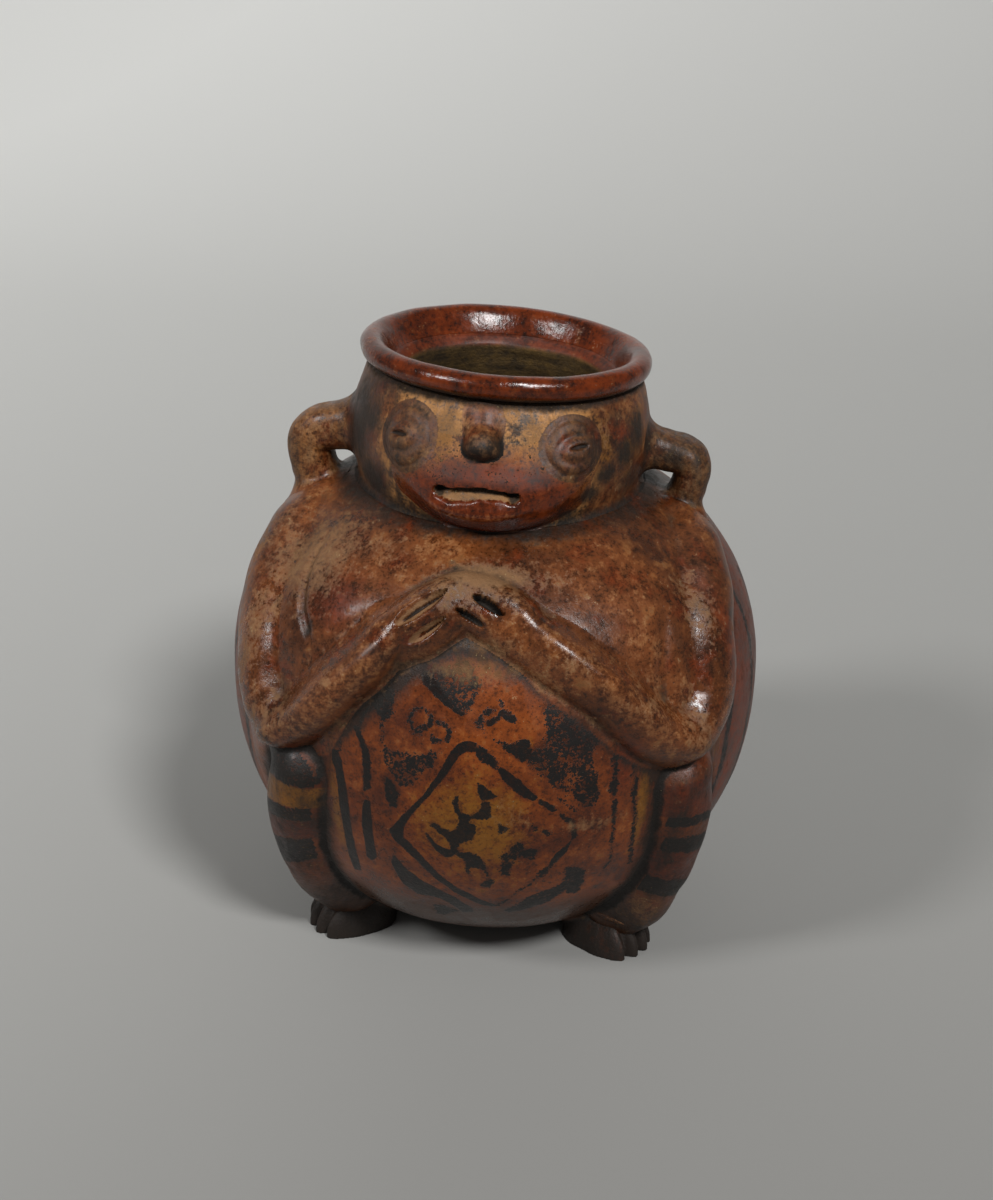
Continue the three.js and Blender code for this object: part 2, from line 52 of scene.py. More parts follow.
# Sizes of the wall, as in the CAD
BODY_RADIUS = 74.4
BASE_RADIUS = 22.0
BELLY_HEIGHT = 73.0
SHOULDER_HEIGHT = 131.0
SHOULDER_MOUTH_RADIUS = 40.5
WALL = 7.0
FLOOR = 8.0
FLOOR_RADIUS = 16.0
BOWL_ROUNDNESS, SHOULDER_ROUNDNESS, LINING_ROUNDNESS = 2.06, 2.25, 2.3
NECK_HEIGHT = 31.3
NECK_FOOT_RADIUS, NECK_TOP_RADIUS, NECK_SWELL = 38.4, 36.6, 3.2
NECK_LINING_RADIUS = 31.0
THROAT_RADIUS, THROAT_HEIGHT, FUNNEL_RADIUS = 27.2, 159.6, 29.8
JAW_RISE, JAW_HALF_ANGLE = 3.4, 76.0
RIM_RADIUS, ROLL_RADIUS, RIM_HEIGHT = 39.3, 3.2, 6.5
RIM_LEAN, RIM_BACK_LEAN, RIM_OFFSET = 2.6, 2.0, 0.8
CHEST_RISE, CHEST_EDGE, CHEST_TOP_FADE = 3.0, 10.0, 22.0
CHEST_HALF_ANGLE, CHEST_SIDE_FADE = 46.0, 16.0
ARM_LINE_SHARE, LEFT_ARM_DROP, RIGHT_ARM_DROP = 0.947, 0.0092, 0.0079
RIM_SEAM = SHOULDER_HEIGHT + NECK_HEIGHT
LAP = 0.012  # how far a luted piece's edge runs in under the surface that it dies out on
SKIN = 0.5  # how far the back of a luted piece lies inside what it sits on
SOLID_SKIN = 1.2  # the same for the lugs and feet
RAISED = 0.004  # height over what is below it from which a luted piece has a face of its own
NO_PAINT = -9.0  # depth inside the black paint where there is none near
SOFT_CREASE, SHARP_CREASE = 60, 48  # angles in degrees past which an edge is shaded sharp


# Fields

def smoothstep(low, high, x):
    t = np.clip((x - low) / (high - low), 0.0, 1.0)
    return t * t * (3 - 2 * t)


def smooth_max(a, b, k):
    """The larger of a and b, with the crease between them filled over a width k."""
    gap = np.maximum(k - np.abs(a - b), 0.0)
    return np.maximum(a, b) + gap * gap / (4 * k)


def smooth_min(a, b, k):
    return -smooth_max(-a, -b, k)


NOISE_SIDE = 48
noise_table = np.random.default_rng(7).uniform(-1, 1, (NOISE_SIDE, NOISE_SIDE, NOISE_SIDE))


def clay_noise(points, size, shift=0.0):
    """Smooth noise from -1 to 1 at points in millimetres, with features about size wide."""
    p = np.asarray(points) / size + shift
    base = np.floor(p).astype(int)
    f = p - base
    f = f * f * (3 - 2 * f)
    total = 0.0
    for corner in range(8):
        step = np.array([corner & 1, corner >> 1 & 1, corner >> 2 & 1])
        weight = np.prod(np.where(step == 1, f, 1 - f), axis=-1)
        i = (base + step) % NOISE_SIDE
        total = total + weight * noise_table[i[..., 0], i[..., 1], i[..., 2]]
    return total


def lay(azimuth, radius, z):
    """Points at azimuths, radii and heights."""
    a = np.asarray(azimuth) * DEG
    return np.stack(np.broadcast_arrays(radius * np.sin(a), -radius * np.cos(a), z), axis=-1)


def azimuth_of(points):
    return np.degrees(np.arctan2(points[..., 0], -points[..., 1]))


# The wall

def swell(share, roundness):
    """Radius of a rounded dome, as a share of its root's, at a share of its height."""
    return (1 - np.clip(share, 0, 1) ** roundness) ** (1 / roundness)


def dome_radius(z, root_height, root_radius, end_height, end_radius, roundness):
    """Radius at a height of a dome that has its full radius at the root and is cut off at the end."""
    closing = (end_height - root_height) / swell(end_radius / root_radius, roundness)
    return root_radius * swell((z - root_height) / closing, roundness)


def body_radius(azimuth, z):
    bowl = dome_radius(z, BELLY_HEIGHT, BODY_RADIUS, 0, BASE_RADIUS, BOWL_ROUNDNESS)
    shoulder = dome_radius(
        z, BELLY_HEIGHT, BODY_RADIUS, SHOULDER_HEIGHT, SHOULDER_MOUTH_RADIUS, SHOULDER_ROUNDNESS
    )
    return np.where(z < BELLY_HEIGHT, bowl, shoulder) + 0 * azimuth


def head_radius(azimuth, z):
    share = np.clip((z - SHOULDER_HEIGHT) / NECK_HEIGHT, 0, 1)
    side = NECK_FOOT_RADIUS + (NECK_TOP_RADIUS - NECK_FOOT_RADIUS) * share
    side = side + NECK_SWELL * np.sin(np.pi * share)
    front = np.cos(np.minimum(90, np.abs(azimuth) * 90 / JAW_HALF_ANGLE) * DEG) ** 2
    tuck = 1.1 * smoothstep(RIM_SEAM - 1.8, RIM_SEAM + 0.4, z)
    return side + JAW_RISE * front * np.sin(np.pi * (0.35 + 0.65 * share)) - tuck


def wall_frame(radius_at, azimuth, z, step=0.4):
    """Points of a wall and its outward normals."""
    radius = radius_at(azimuth, z)
    slope = (radius_at(azimuth, z + step) - radius_at(azimuth, z - step)) / (2 * step)
    length = np.sqrt(1 + slope * slope)
    return lay(azimuth, radius, z), lay(azimuth, 1 / length, -slope / length)


def chest(azimuth, z):
    """Height of the swollen chest over the wall, down to the line of the arms."""
    drop = np.where(azimuth < 0, LEFT_ARM_DROP, RIGHT_ARM_DROP)
    arm_line = SHOULDER_HEIGHT * (ARM_LINE_SHARE - drop * np.abs(azimuth))
    front = 1 - smoothstep(CHEST_HALF_ANGLE, CHEST_HALF_ANGLE + CHEST_SIDE_FADE, np.abs(azimuth))
    top = 1 - smoothstep(SHOULDER_HEIGHT - CHEST_TOP_FADE, SHOULDER_HEIGHT, z)
    return CHEST_RISE * front * top * smoothstep(-CHEST_EDGE / 2, CHEST_EDGE / 2, z - arm_line)


HAND_LUMPS = [(0.42, 27, 0), (0.16, 11, 3.3), (0.05, 4.2, 7.7)]  # height, size and shift of each noise


def hand_lumps(points):
    """The unevenness of a hand-built and burnished wall."""
    return sum(high * clay_noise(points, size, shift) for high, size, shift in HAND_LUMPS)


# Coils luted on the body: azimuth, share of the shoulder's height, then shares of half width and rise
LIMB_STOPS = {
    "left_upper_arm": [
        (-82, 0.95, 0.7, 0.6), (-74, 0.905, 0.9, 0.9), (-65, 0.83, 1, 1), (-58.5, 0.755, 1, 1),
        (-54, 0.69, 1, 1), (-48.5, 0.635, 0.85, 1),
    ],
    "left_forearm": [
        (-40, 0.578, 1.15, 1), (-34.8, 0.614, 1, 1), (-25.3, 0.715, 1, 1), (-20.3, 0.768, 1, 0.95),
        (-16.8, 0.813, 0.95, 0.8),
    ],
    "left_leg": [
        (-39, 0.5, 0.95, 0.9), (-41.5, 0.42, 1, 1), (-44.5, 0.33, 1, 1), (-47, 0.24, 1, 1.1),
        (-49.5, 0.16, 0.95, 1.3), (-51, 0.1, 0.85, 1.3),
    ],
    "right_upper_arm": [
        (83, 0.95, 0.7, 0.6), (75, 0.905, 0.9, 0.9), (66.5, 0.85, 1, 1), (60.5, 0.79, 1, 1),
        (58, 0.724, 1, 1), (55.5, 0.665, 0.95, 1), (50.5, 0.625, 0.8, 1),
    ],
    "right_forearm": [
        (45, 0.6, 1.1, 1), (38.4, 0.635, 1, 1), (28.2, 0.732, 1, 1), (18.8, 0.799, 1, 0.95),
        (9.1, 0.851, 0.9, 0.75),
    ],
    "hands": [
        (-17, 0.822, 0.85, 0.7), (-13, 0.848, 1, 0.95), (-9, 0.872, 1, 1), (-4.5, 0.893, 1, 1),
        (0, 0.895, 1, 1), (4.5, 0.882, 1, 1), (9, 0.862, 0.95, 0.9), (13, 0.84, 0.8, 0.7),
    ],
    "right_leg": [
        (48.5, 0.495, 0.95, 0.9), (50, 0.42, 1, 1), (51.5, 0.33, 1, 1), (52.5, 0.24, 1, 1.2),
        (53, 0.16, 0.95, 1.6), (53.5, 0.1, 0.85, 1.6),
    ],
}
# Half width on the sharp and on the soft flank, rise, roundness, and fillet on the sharp and the soft flank
LIMB_SIZES = {
    "left_upper_arm": (11.6, 12.6, 5.2, 2.1, 1.6, 5.0),
    "right_upper_arm": (10.8, 10.2, 5.6, 2.1, 1.6, 2.4),
    "left_forearm": (4.3, 9.0, 6.8, 2.1, 1.0, 5.0),
    "right_forearm": (7.0, 7.6, 6.9, 2.1, 1.0, 4.5),
    "hands": (8.4, 8.2, 5.6, 2.7, 1.0, 2.2),
    "left_leg": (10.2, 10.6, 7.2, 2.3, 1.5, 2.6),
    "right_leg": (9.8, 10.6, 7.2, 2.3, 1.5, 2.6),
}
LUTING_ORDER = [
    "left_upper_arm", "right_upper_arm", "left_forearm", "right_forearm", "hands", "left_leg", "right_leg",
]
HANDS_MEET = -2.4


def catmull_rom(stops, shares, per_stretch=9):
    """Points along a centripetal Catmull-Rom curve through stops, with shares eased from stop to stop."""
    p = np.vstack([2 * stops[0] - stops[1], stops, 2 * stops[-1] - stops[-2]])
    rows = []
    for i in range(1, len(p) - 2):
        d = np.sqrt(np.linalg.norm(np.diff(p[i - 1:i + 3], axis=0), axis=1))
        a, b, c, e = p[i - 1:i + 3]
        start = ((b - a) / d[0] - (c - a) / (d[0] + d[1]) + (c - b) / d[1]) * d[1]
        end = ((c - b) / d[1] - (e - b) / (d[1] + d[2]) + (e - c) / d[2]) * d[1]
        last = i == len(p) - 3
        for t in np.linspace(0, 1, per_stretch + last, endpoint=last):
            h = (2 * t**3 - 3 * t * t + 1, t**3 - 2 * t * t + t, 3 * t * t - 2 * t**3, t**3 - t * t)
            mix = smoothstep(0, 1, t)
            place = h[0] * b + h[1] * start + h[2] * c + h[3] * end
            rows.append([*place, *((1 - mix) * shares[i - 1] + mix * shares[i])])
    return np.array(rows)


def limb_path(stops):
    """Azimuths, heights and shares along a limb."""
    table = np.array(stops, dtype=float)
    rows = catmull_rom(table[:, :2] * [DEG, 1], table[:, 2:])
    return rows[:, 0] / DEG, rows[:, 1] * SHOULDER_HEIGHT, rows[:, 2:].T


def nearest_on_line(points, line):
    """Distance to a line of points, how far along it in millimetres, and which part of it is nearest."""
    shape = points.shape[:-1]
    q = points.reshape(-1, 3)
    best = np.full(len(q), np.inf)
    along = np.zeros(len(q))
    part = np.zeros(len(q))
    offset = np.zeros((len(q), 3))
    done = 0.0
    for i, (a, b) in enumerate(zip(line[:-1], line[1:])):
        run = b - a
        length = np.linalg.norm(run)
        t = np.clip((q - a) @ run / length**2, 0, 1)
        gap = q - a - t[:, None] * run
        d = np.linalg.norm(gap, axis=1)
        closer = d < best
        best[closer] = d[closer]
        along[closer] = done + t[closer] * length
        part[closer] = i + t[closer]
        offset[closer] = gap[closer]
        done += length
    return best.reshape(shape), along.reshape(shape), part.reshape(shape), offset.reshape(shape + (3,))


def coil_height(ground, points, normals, line, shares, sizes, soft_side):
    """Height of a coil over a wall, the width that its flank is filled over, and the place across it."""
    sharp_width, soft_width, rise, sharpness, sharp_fillet, soft_fillet = sizes
    distance, _, part, offset = nearest_on_line(points, line)
    at = np.arange(len(line))
    top = rise * np.interp(part, at, shares[1])
    run = (line[1:] - line[:-1])[np.clip(part.astype(int), 0, len(line) - 2)]
    side = np.einsum("...i,...i->...", np.cross(normals, run), offset) / np.linalg.norm(run, axis=-1)
    soft = smoothstep(-3.0, 3.0, soft_side * side)
    width = (sharp_width + (soft_width - sharp_width) * soft) * np.interp(part, at, shares[0])
    x = distance / width
    shape = np.where(x < 1, 1 - np.minimum(x, 1) ** sharpness, -sharpness * (x - 1))
    fillet = sharp_fillet + (soft_fillet - sharp_fillet) * soft
    return ground + top * shape, fillet, side * soft_side / width


# Slits between the fingers: azimuths, shares of the shoulder's height, half width and depth
FINGER_SLITS = [
    ((-16.6, 0.835), (-6.5, 0.899), 2.2, 1.5),
    ((-14.0, 0.806), (-6.0, 0.864), 2.1, 1.5),
    ((-0.7, 0.897), (6.6, 0.872), 1.45, 3.2),
    ((-3.9, 0.878), (4.4, 0.841), 1.5, 2.6),
]


def leaf_cut(points, line, half_width, depth):
    """Depth of a slit that is pointed at both ends."""
    distance, along, _, _ = nearest_on_line(points, line)
    length = np.linalg.norm(np.diff(line, axis=0), axis=1).sum()
    width = half_width * np.maximum(np.sin(np.pi * np.clip(along / length, 0.02, 0.98)), 0.05) ** 0.6
    return depth * (1 - smoothstep(0.35, 1.15, distance / width))


def finger_slits(points, height, normals):
    """Depth of the cuts between the fingers. The shallow ones have a narrow, deeper core."""
    lifted = points + normals * height[..., None]
    cut = np.zeros(height.shape)
    for start, end, half_width, depth in FINGER_SLITS:
        azimuth = np.linspace(start[0], end[0], 5)
        z = np.linspace(start[1], end[1], 5) * SHOULDER_HEIGHT
        bend = 0.35 * np.sin(np.linspace(0, np.pi, 5))
        base, out = wall_frame(body_radius, azimuth, z + bend)
        line = base + out * (chest(azimuth, z) + LIMB_SIZES["hands"][2])[:, None]
        core = leaf_cut(lifted, line, 0.3 * half_width, 0.9) if depth < 2 else 0
        cut = np.maximum(cut, leaf_cut(lifted, line, half_width, depth) + core)
    return cut


def limb_line(name):
    """Points along the middle of a limb, on the plain round wall, and the shares of its sizes there."""
    azimuth, z, shares = limb_path(LIMB_STOPS[name])
    return wall_frame(body_radius, azimuth, z)[0], shares


# Folds that the potter pressed in beside the arms: azimuths, shares of height, depth and half width
CHEST_FOLDS = [
    ([(-56, 0.95), (-52.8, 0.939), (-49.6, 0.899), (-45.7, 0.86), (-42.1, 0.82), (-37.3, 0.783)], 1.2, 1.2),
    ([(-45, 0.7), (-39, 0.715), (-31, 0.79), (-24, 0.85)], 0.7, 2.6),
    ([(50, 0.88), (44, 0.82), (41, 0.75), (42, 0.69)], 0.8, 2.2),
]


def chest_folds(points):
    """Depth of the folds beside the arms."""
    depth = 0.0
    for stops, deep, half_width in CHEST_FOLDS:
        azimuth, share = np.array(stops, dtype=float).T
        line = wall_frame(body_radius, azimuth, share * SHOULDER_HEIGHT)[0]
        distance, along, _, _ = nearest_on_line(points, line)
        length = np.linalg.norm(np.diff(line, axis=0), axis=1).sum()
        ends = smoothstep(0, 14, along) * smoothstep(0, 5, length - along + 2)
        depth = depth + deep * ends * np.exp(-(distance / half_width) ** 2)
    return depth


def body_ground(azimuth, z):
    """Height of the bare wall of the body over its plain round shape."""
    points, _ = wall_frame(body_radius, azimuth, z)
    settled = smoothstep(0, 9, z) * (1 - smoothstep(SHOULDER_HEIGHT - 9, SHOULDER_HEIGHT, z))
    folds = np.zeros(points.shape[:-1])
    near = (np.abs(azimuth) < 70) & (z > 80)
    folds[near] = chest_folds(points[near])
    return chest(azimuth, z) + hand_lumps(points) * settled - folds * settled


def luted_heights(azimuth, z):
    """Height of the wall after each limb is luted on, in order, and the place across each limb."""
    points, normals = wall_frame(body_radius, azimuth, z)
    ground = body_ground(azimuth, z)
    pressed = ground + 0.35 * clay_noise(points, 9, 5.1)
    heights, sides = [ground], {}
    for name in LUTING_ORDER:
        line, shares = limb_line(name)
        soft_side = -1 if name.startswith("right") else 1
        if name.endswith(("upper_arm", "leg")):
            soft_side = -soft_side
        level, fillet, sides[name] = coil_height(
            pressed, points, normals, line, shares, LIMB_SIZES[name], soft_side,
        )
        heights.append(smooth_max(heights[-1], level, fillet))
    return points, normals, heights, sides


# Meshes

def mesh_piece(name, points, faces, values=None, crease=SHARP_CREASE):
    """A piece from points in millimetres and arrays of faces, with values at its points."""
    mesh = bpy.data.meshes.new(name)
    faces = faces if isinstance(faces, list) else [faces]
    corners = np.concatenate([np.full(len(part), part.shape[1]) for part in faces]).astype(np.int32)
    loops = np.concatenate([part.ravel() for part in faces]).astype(np.int32)
    mesh.vertices.add(len(points))
    mesh.vertices.foreach_set("co", (np.asarray(points) * MM).astype(np.float32).ravel())
    mesh.loops.add(len(loops))
    mesh.loops.foreach_set("vertex_index", loops)
    mesh.polygons.add(len(corners))
    mesh.polygons.foreach_set("loop_start", np.concatenate([[0], np.cumsum(corners)[:-1]]).astype(np.int32))
    mesh.polygons.foreach_set("loop_total", corners)
    mesh.update(calc_edges=True)
    for key, value in (values or {}).items():
        put_values(mesh, key, value)
    mesh.shade_smooth()
    if crease:
        mesh.set_sharp_from_angle(angle=crease * DEG)
    piece = bpy.data.objects.new(name, mesh)
    bpy.context.collection.objects.link(piece)
    return piece


def put_values(mesh, key, value):
    attribute = mesh.attributes.new(key, "FLOAT", "POINT")
    attribute.data.foreach_set("value", np.asarray(value, dtype=np.float32))


def sheet_faces(kept):
    """Faces of a closed sheet of clay over the kept cells of a grid, and which grid points it uses.

    The points are first those of the upper side, then the same ones of the lower side.
    """
    kept = kept.copy()
    for _ in range(6):
        a, b, c, d = kept[:-1, :-1], kept[1:, :-1], kept[1:, 1:], kept[:-1, 1:]
        crossed = (a & c & ~b & ~d) | (b & d & ~a & ~c)
        if not crossed.any():
            break
        i, j = np.nonzero(crossed)
        for di, dj in ((0, 0), (1, 0), (1, 1), (0, 1)):
            kept[i + di, j + dj] = True
    used = np.zeros((kept.shape[0] + 1, kept.shape[1] + 1), dtype=bool)
    for di, dj in ((0, 0), (1, 0), (1, 1), (0, 1)):
        used[di:di + kept.shape[0], dj:dj + kept.shape[1]] |= kept
    index = np.cumsum(used.ravel()).reshape(used.shape) - 1
    total = int(used.sum())
    i, j = np.nonzero(kept)
    quad = np.stack([index[i, j], index[i + 1, j], index[i + 1, j + 1], index[i, j + 1]], axis=1)
    faces = [quad, quad[:, ::-1] + total]
    ringed = np.pad(kept, 1)
    for di, dj, first, second in (
        (0, -1, (0, 0), (1, 0)), (1, 0, (1, 0), (1, 1)), (0, 1, (1, 1), (0, 1)), (-1, 0, (0, 1), (0, 0)),
    ):
        open_edge = kept & ~ringed[1 + di:ringed.shape[0] - 1 + di, 1 + dj:ringed.shape[1] - 1 + dj]
        i, j = np.nonzero(open_edge)
        a, b = index[i + first[0], j + first[1]], index[i + second[0], j + second[1]]
        faces.append(np.stack([b, a, a + total, b + total], axis=1))
    return np.vstack(faces), used


def lattice(low_azimuth, high_azimuth, low_z, high_z, radius, gap):
    """Azimuths and heights of a grid with cells about gap millimetres wide, indexed [azimuth, height]."""
    gap = gap * FINE
    across = max(4, int(round((high_azimuth - low_azimuth) * DEG * radius / gap)))
    up = max(4, int(round((high_z - low_z) / gap)))
    return np.meshgrid(
        np.linspace(low_azimuth, high_azimuth, across + 1), np.linspace(low_z, high_z, up + 1), indexing="ij"
    )


def luted_sheet(name, points, normals, before, after, values, raised=None, settle=None):
    """A piece of clay luted on a wall: its upper side is after, and its lower side lies inside before."""
    raised = after - before > RAISED if raised is None else raised
    kept = raised[:-1, :-1] | raised[1:, :-1] | raised[1:, 1:] | raised[:-1, 1:]
    faces, used = sheet_faces(kept)
    top = after - LAP
    bottom = np.minimum(before - SKIN, top - SKIN / 2)
    upper = (points + normals * top[..., None])[used]
    lower = (points + normals * bottom[..., None])[used]
    if settle:
        upper, lower = settle(upper), settle(lower)
    doubled = {key: np.concatenate([value[used], value[used]]) for key, value in values.items()}
    return mesh_piece(name, np.vstack([upper, lower]), faces, doubled)


def turned_faces(rows, columns, closed_profile):
    """Faces round the axis between rows of points that run up the outside and down the inside.

    Where the profile isn't closed, two more points close the first and the last row.
    """
    i, j = np.meshgrid(np.arange(rows if closed_profile else rows - 1), np.arange(columns), indexing="ij")
    i, j = i.ravel(), j.ravel()
    up, on = (i + 1) % rows, (j + 1) % columns
    faces = [np.stack([i * columns + j, i * columns + on, up * columns + on, up * columns + j], axis=1)]
    if not closed_profile:
        j = np.arange(columns)
        on = (j + 1) % columns
        last = (rows - 1) * columns
        faces.append(np.stack([np.full(columns, rows * columns), on, j], axis=1))
        faces.append(np.stack([np.full(columns, rows * columns + 1), last + j, last + on], axis=1))
    return faces


def wall_columns(front, radius, front_gap, back_gap):
    """Azimuths round a wall, closer together up to front degrees from the front."""
    ahead = int(round(2 * front * DEG * radius / (front_gap * FINE)))
    behind = int(round((360 - 2 * front) * DEG * radius / (back_gap * FINE)))
    return np.concatenate([
        np.linspace(-front, front, ahead + 1), np.linspace(front, 360 - front, behind + 1)[1:-1],
    ])


def rows_along(radius_at, low, high, gap):
    """Heights that lie about gap millimetres apart along a wall's profile."""
    z = np.linspace(low, high, 2000)
    r = radius_at(0 * z + 180.0, z)
    run = np.concatenate([[0], np.cumsum(np.hypot(np.diff(r), np.diff(z)))])
    count = max(3, int(round(run[-1] / (gap * FINE))))
    heights = np.interp(np.linspace(0, run[-1], count + 1), run, z)
    heights[0], heights[-1] = low, high
    return heights


def around(azimuth):
    """The same azimuths, from -180 to 180."""
    return (azimuth + 180) % 360 - 180


def turned_wall(name, columns, outer_rows, outer_at, inner_rows, inner_at, values_at, poles=None):
    """A wall with an outer face, a lining, and flat seams between them, closed by poles or on itself."""
    outer, inner = (np.meshgrid(around(columns), rows, indexing="xy") for rows in (outer_rows, inner_rows))
    points = np.vstack([outer_at(*outer).reshape(-1, 3), inner_at(*inner).reshape(-1, 3)])
    azimuth, z = (np.concatenate([a.ravel(), b.ravel()]) for a, b in zip(outer, inner))
    values = values_at(azimuth, z, np.repeat([0.0, 1.0], [outer[0].size, inner[0].size]))
    faces = turned_faces(len(outer_rows) + len(inner_rows), len(columns), poles is None)
    if poles is not None:
        points = np.vstack([points, poles])
        values = {key: np.concatenate([value, [value[0], value[-1]]]) for key, value in values.items()}
    return mesh_piece(name, points, faces, values)


def body_outer(azimuth, z):
    points, normals = wall_frame(body_radius, azimuth, z)
    return points + normals * body_ground(azimuth, z)[..., None]


def neck_foot(z):
    """Radius of the smear of clay that joins the neck to the shoulder."""
    return SHOULDER_MOUTH_RADIUS - 0.1 - 1.25 * (z - SHOULDER_HEIGHT)


def head_ground(azimuth, z):
    """Height of the neck's wall over its plain shape, with the smear at its foot."""
    points, _ = wall_frame(head_radius, azimuth, z)
    settled = smoothstep(0, 6, RIM_SEAM - z) * smoothstep(SHOULDER_HEIGHT - 4, SHOULDER_HEIGHT + 5, z)
    lumps = 0.3 * clay_noise(points, 14, 2.2) + 0.16 * clay_noise(points, 5, 8.1)
    foot = neck_foot(z) - head_radius(azimuth, z)
    return smooth_max(lumps * settled, foot, 2.4 * (1 - smoothstep(4, 7, z - SHOULDER_HEIGHT)) + 0.01)


def rim_dip(points):
    """How far the leaning rim lies below a level one."""
    return math.tan(RIM_LEAN * DEG) * points[..., 0] + math.tan(RIM_BACK_LEAN * DEG) * points[..., 1]


def leaned(points):
    """Points of the head, whose top leans to the right and back with its rim."""
    high = smoothstep(RIM_SEAM - 12, RIM_SEAM, points[..., 2])
    return points + np.stack([RIM_OFFSET * high, 0 * high, -rim_dip(points) * high], axis=-1)


def neck_outer(azimuth, z):
    points, normals = wall_frame(head_radius, azimuth, z)
    return leaned(points + normals * head_ground(azimuth, z)[..., None])


def lining(*root_and_end):
    """Radius of a lining, from its root's height and radius and its end's."""
    return lambda azimuth, z: dome_radius(z, *root_and_end, LINING_ROUNDNESS)


def lined(radius_at, ridge):
    """Points of a lining, left as the potter's fingers and scraper left it."""
    def points_at(azimuth, z):
        points = lay(azimuth, radius_at(azimuth, z), z)
        push = ridge * (clay_noise(points * [0.35, 0.35, 1.6], 4.5, 1.7) + 0.6 * clay_noise(points, 9, 4.4))
        ends = smoothstep(0, 3, z - z.min()) * smoothstep(0, 3, z.max() - z)
        return points + lay(azimuth, 1.0, 0.0) * (push * ends)[..., None]
    return points_at


def neck_lining_radius(azimuth, z):
    narrowing = smoothstep(SHOULDER_HEIGHT + 9, THROAT_HEIGHT, z)
    funnel = np.clip((z - THROAT_HEIGHT) / (RIM_SEAM - THROAT_HEIGHT), 0, 1)
    return (
        NECK_LINING_RADIUS + (THROAT_RADIUS - NECK_LINING_RADIUS) * narrowing
        + (FUNNEL_RADIUS - THROAT_RADIUS) * funnel
    )


# Spacing in millimetres of the body's points in front, behind, up the outside and up the lining
BODY_GAPS = (0.62, 1.25, 0.72, 3)
NECK_GAPS = (0.45, 0.8)
NECK_ROWS, NECK_LINING_ROWS = 60, 44
BODY_FRONT, NECK_FRONT = 64, 92  # degrees from the front up to which the points lie closer
BODY_RIDGES, NECK_RIDGES = 0.3, 0.45  # depth of the scraper's marks inside
HEAD_GRID_RADIUS = 39


def make_walls():
    front_gap, back_gap, row_gap, lining_gap = BODY_GAPS
    columns = wall_columns(BODY_FRONT, BODY_RADIUS, front_gap, back_gap)

    def body_wall(name, low, high, lining_at, lining_low, poles=None):
        return turned_wall(
            name, columns, rows_along(body_radius, low, high, row_gap), body_outer,
            rows_along(lining_at, lining_low, high, lining_gap)[::-1], lined(lining_at, BODY_RIDGES),
            body_values, poles,
        )

    root = (BELLY_HEIGHT, BODY_RADIUS - WALL)
    return {
        "base_bowl": body_wall(
            "painted_bowl", 0, BELLY_HEIGHT, lining(*root, FLOOR, FLOOR_RADIUS), FLOOR,
            poles=[(0, 0, 0), (0, 0, FLOOR)],
        ),
        "shoulder_wall": body_wall(
            "chest_and_shoulder", BELLY_HEIGHT, SHOULDER_HEIGHT,
            lining(*root, SHOULDER_HEIGHT, NECK_LINING_RADIUS), BELLY_HEIGHT,
        ),
        "neck_wall": turned_wall(
            "effigy_head", wall_columns(NECK_FRONT, HEAD_GRID_RADIUS, *NECK_GAPS),
            np.linspace(SHOULDER_HEIGHT, RIM_SEAM, int(NECK_ROWS / FINE)), neck_outer,
            np.linspace(RIM_SEAM, SHOULDER_HEIGHT, int(NECK_LINING_ROWS / FINE)),
            lambda azimuth, z: leaned(lined(neck_lining_radius, NECK_RIDGES)(azimuth, z)), head_values,
        ),
    }


# Limbs and hands

# The part of the wall that each lies on: lowest and highest azimuth, lowest and highest level
LIMB_WINDOWS = {
    "left_upper_arm": (-108, -24, 60, 131), "right_upper_arm": (28, 112, 60, 131),
    "left_forearm": (-56, -5, 62, 119), "right_forearm": (3, 64, 62, 123),
    "right_hand": (HANDS_MEET, 23, 99, 129), "left_hand": (-27, HANDS_MEET, 96, 128),
    "left_leg": (-78, -24, 5, 82), "right_leg": (30, 82, 5, 82),
}
LIMB_GAPS = {"upper_arm": 0.62, "forearm": 0.5, "hand": 0.32, "leg": 0.55}
HAND_OUTLINE, HAND_OUTLINE_PLACE, HAND_OUTLINE_WIDTH = 0.35, 0.98, 0.09  # groove round the hands


def make_limbs():
    pieces = {}
    for name, (low_a, high_a, low_z, high_z) in LIMB_WINDOWS.items():
        kind = name.split("_", 1)[1]
        azimuth, z = lattice(low_a, high_a, low_z, high_z, BODY_RADIUS, LIMB_GAPS[kind])
        points, normals, heights, sides = luted_heights(azimuth, z)
        step = LUTING_ORDER.index("hands" if kind == "hand" else name)
        before, after = heights[step], heights[step + 1]
        raised = after - before > RAISED
        cut = None
        if kind == "hand":
            cut = finger_slits(points, after, normals)
            off_outline = (sides["hands"] - HAND_OUTLINE_PLACE) / HAND_OUTLINE_WIDTH
            after = np.where(raised, after - cut - HAND_OUTLINE * np.exp(-off_outline**2), before)
        pieces[name] = luted_sheet(
            name, points, normals, before, after, limb_values(azimuth, z, after, name, cut), raised
        )
    return pieces


# The face

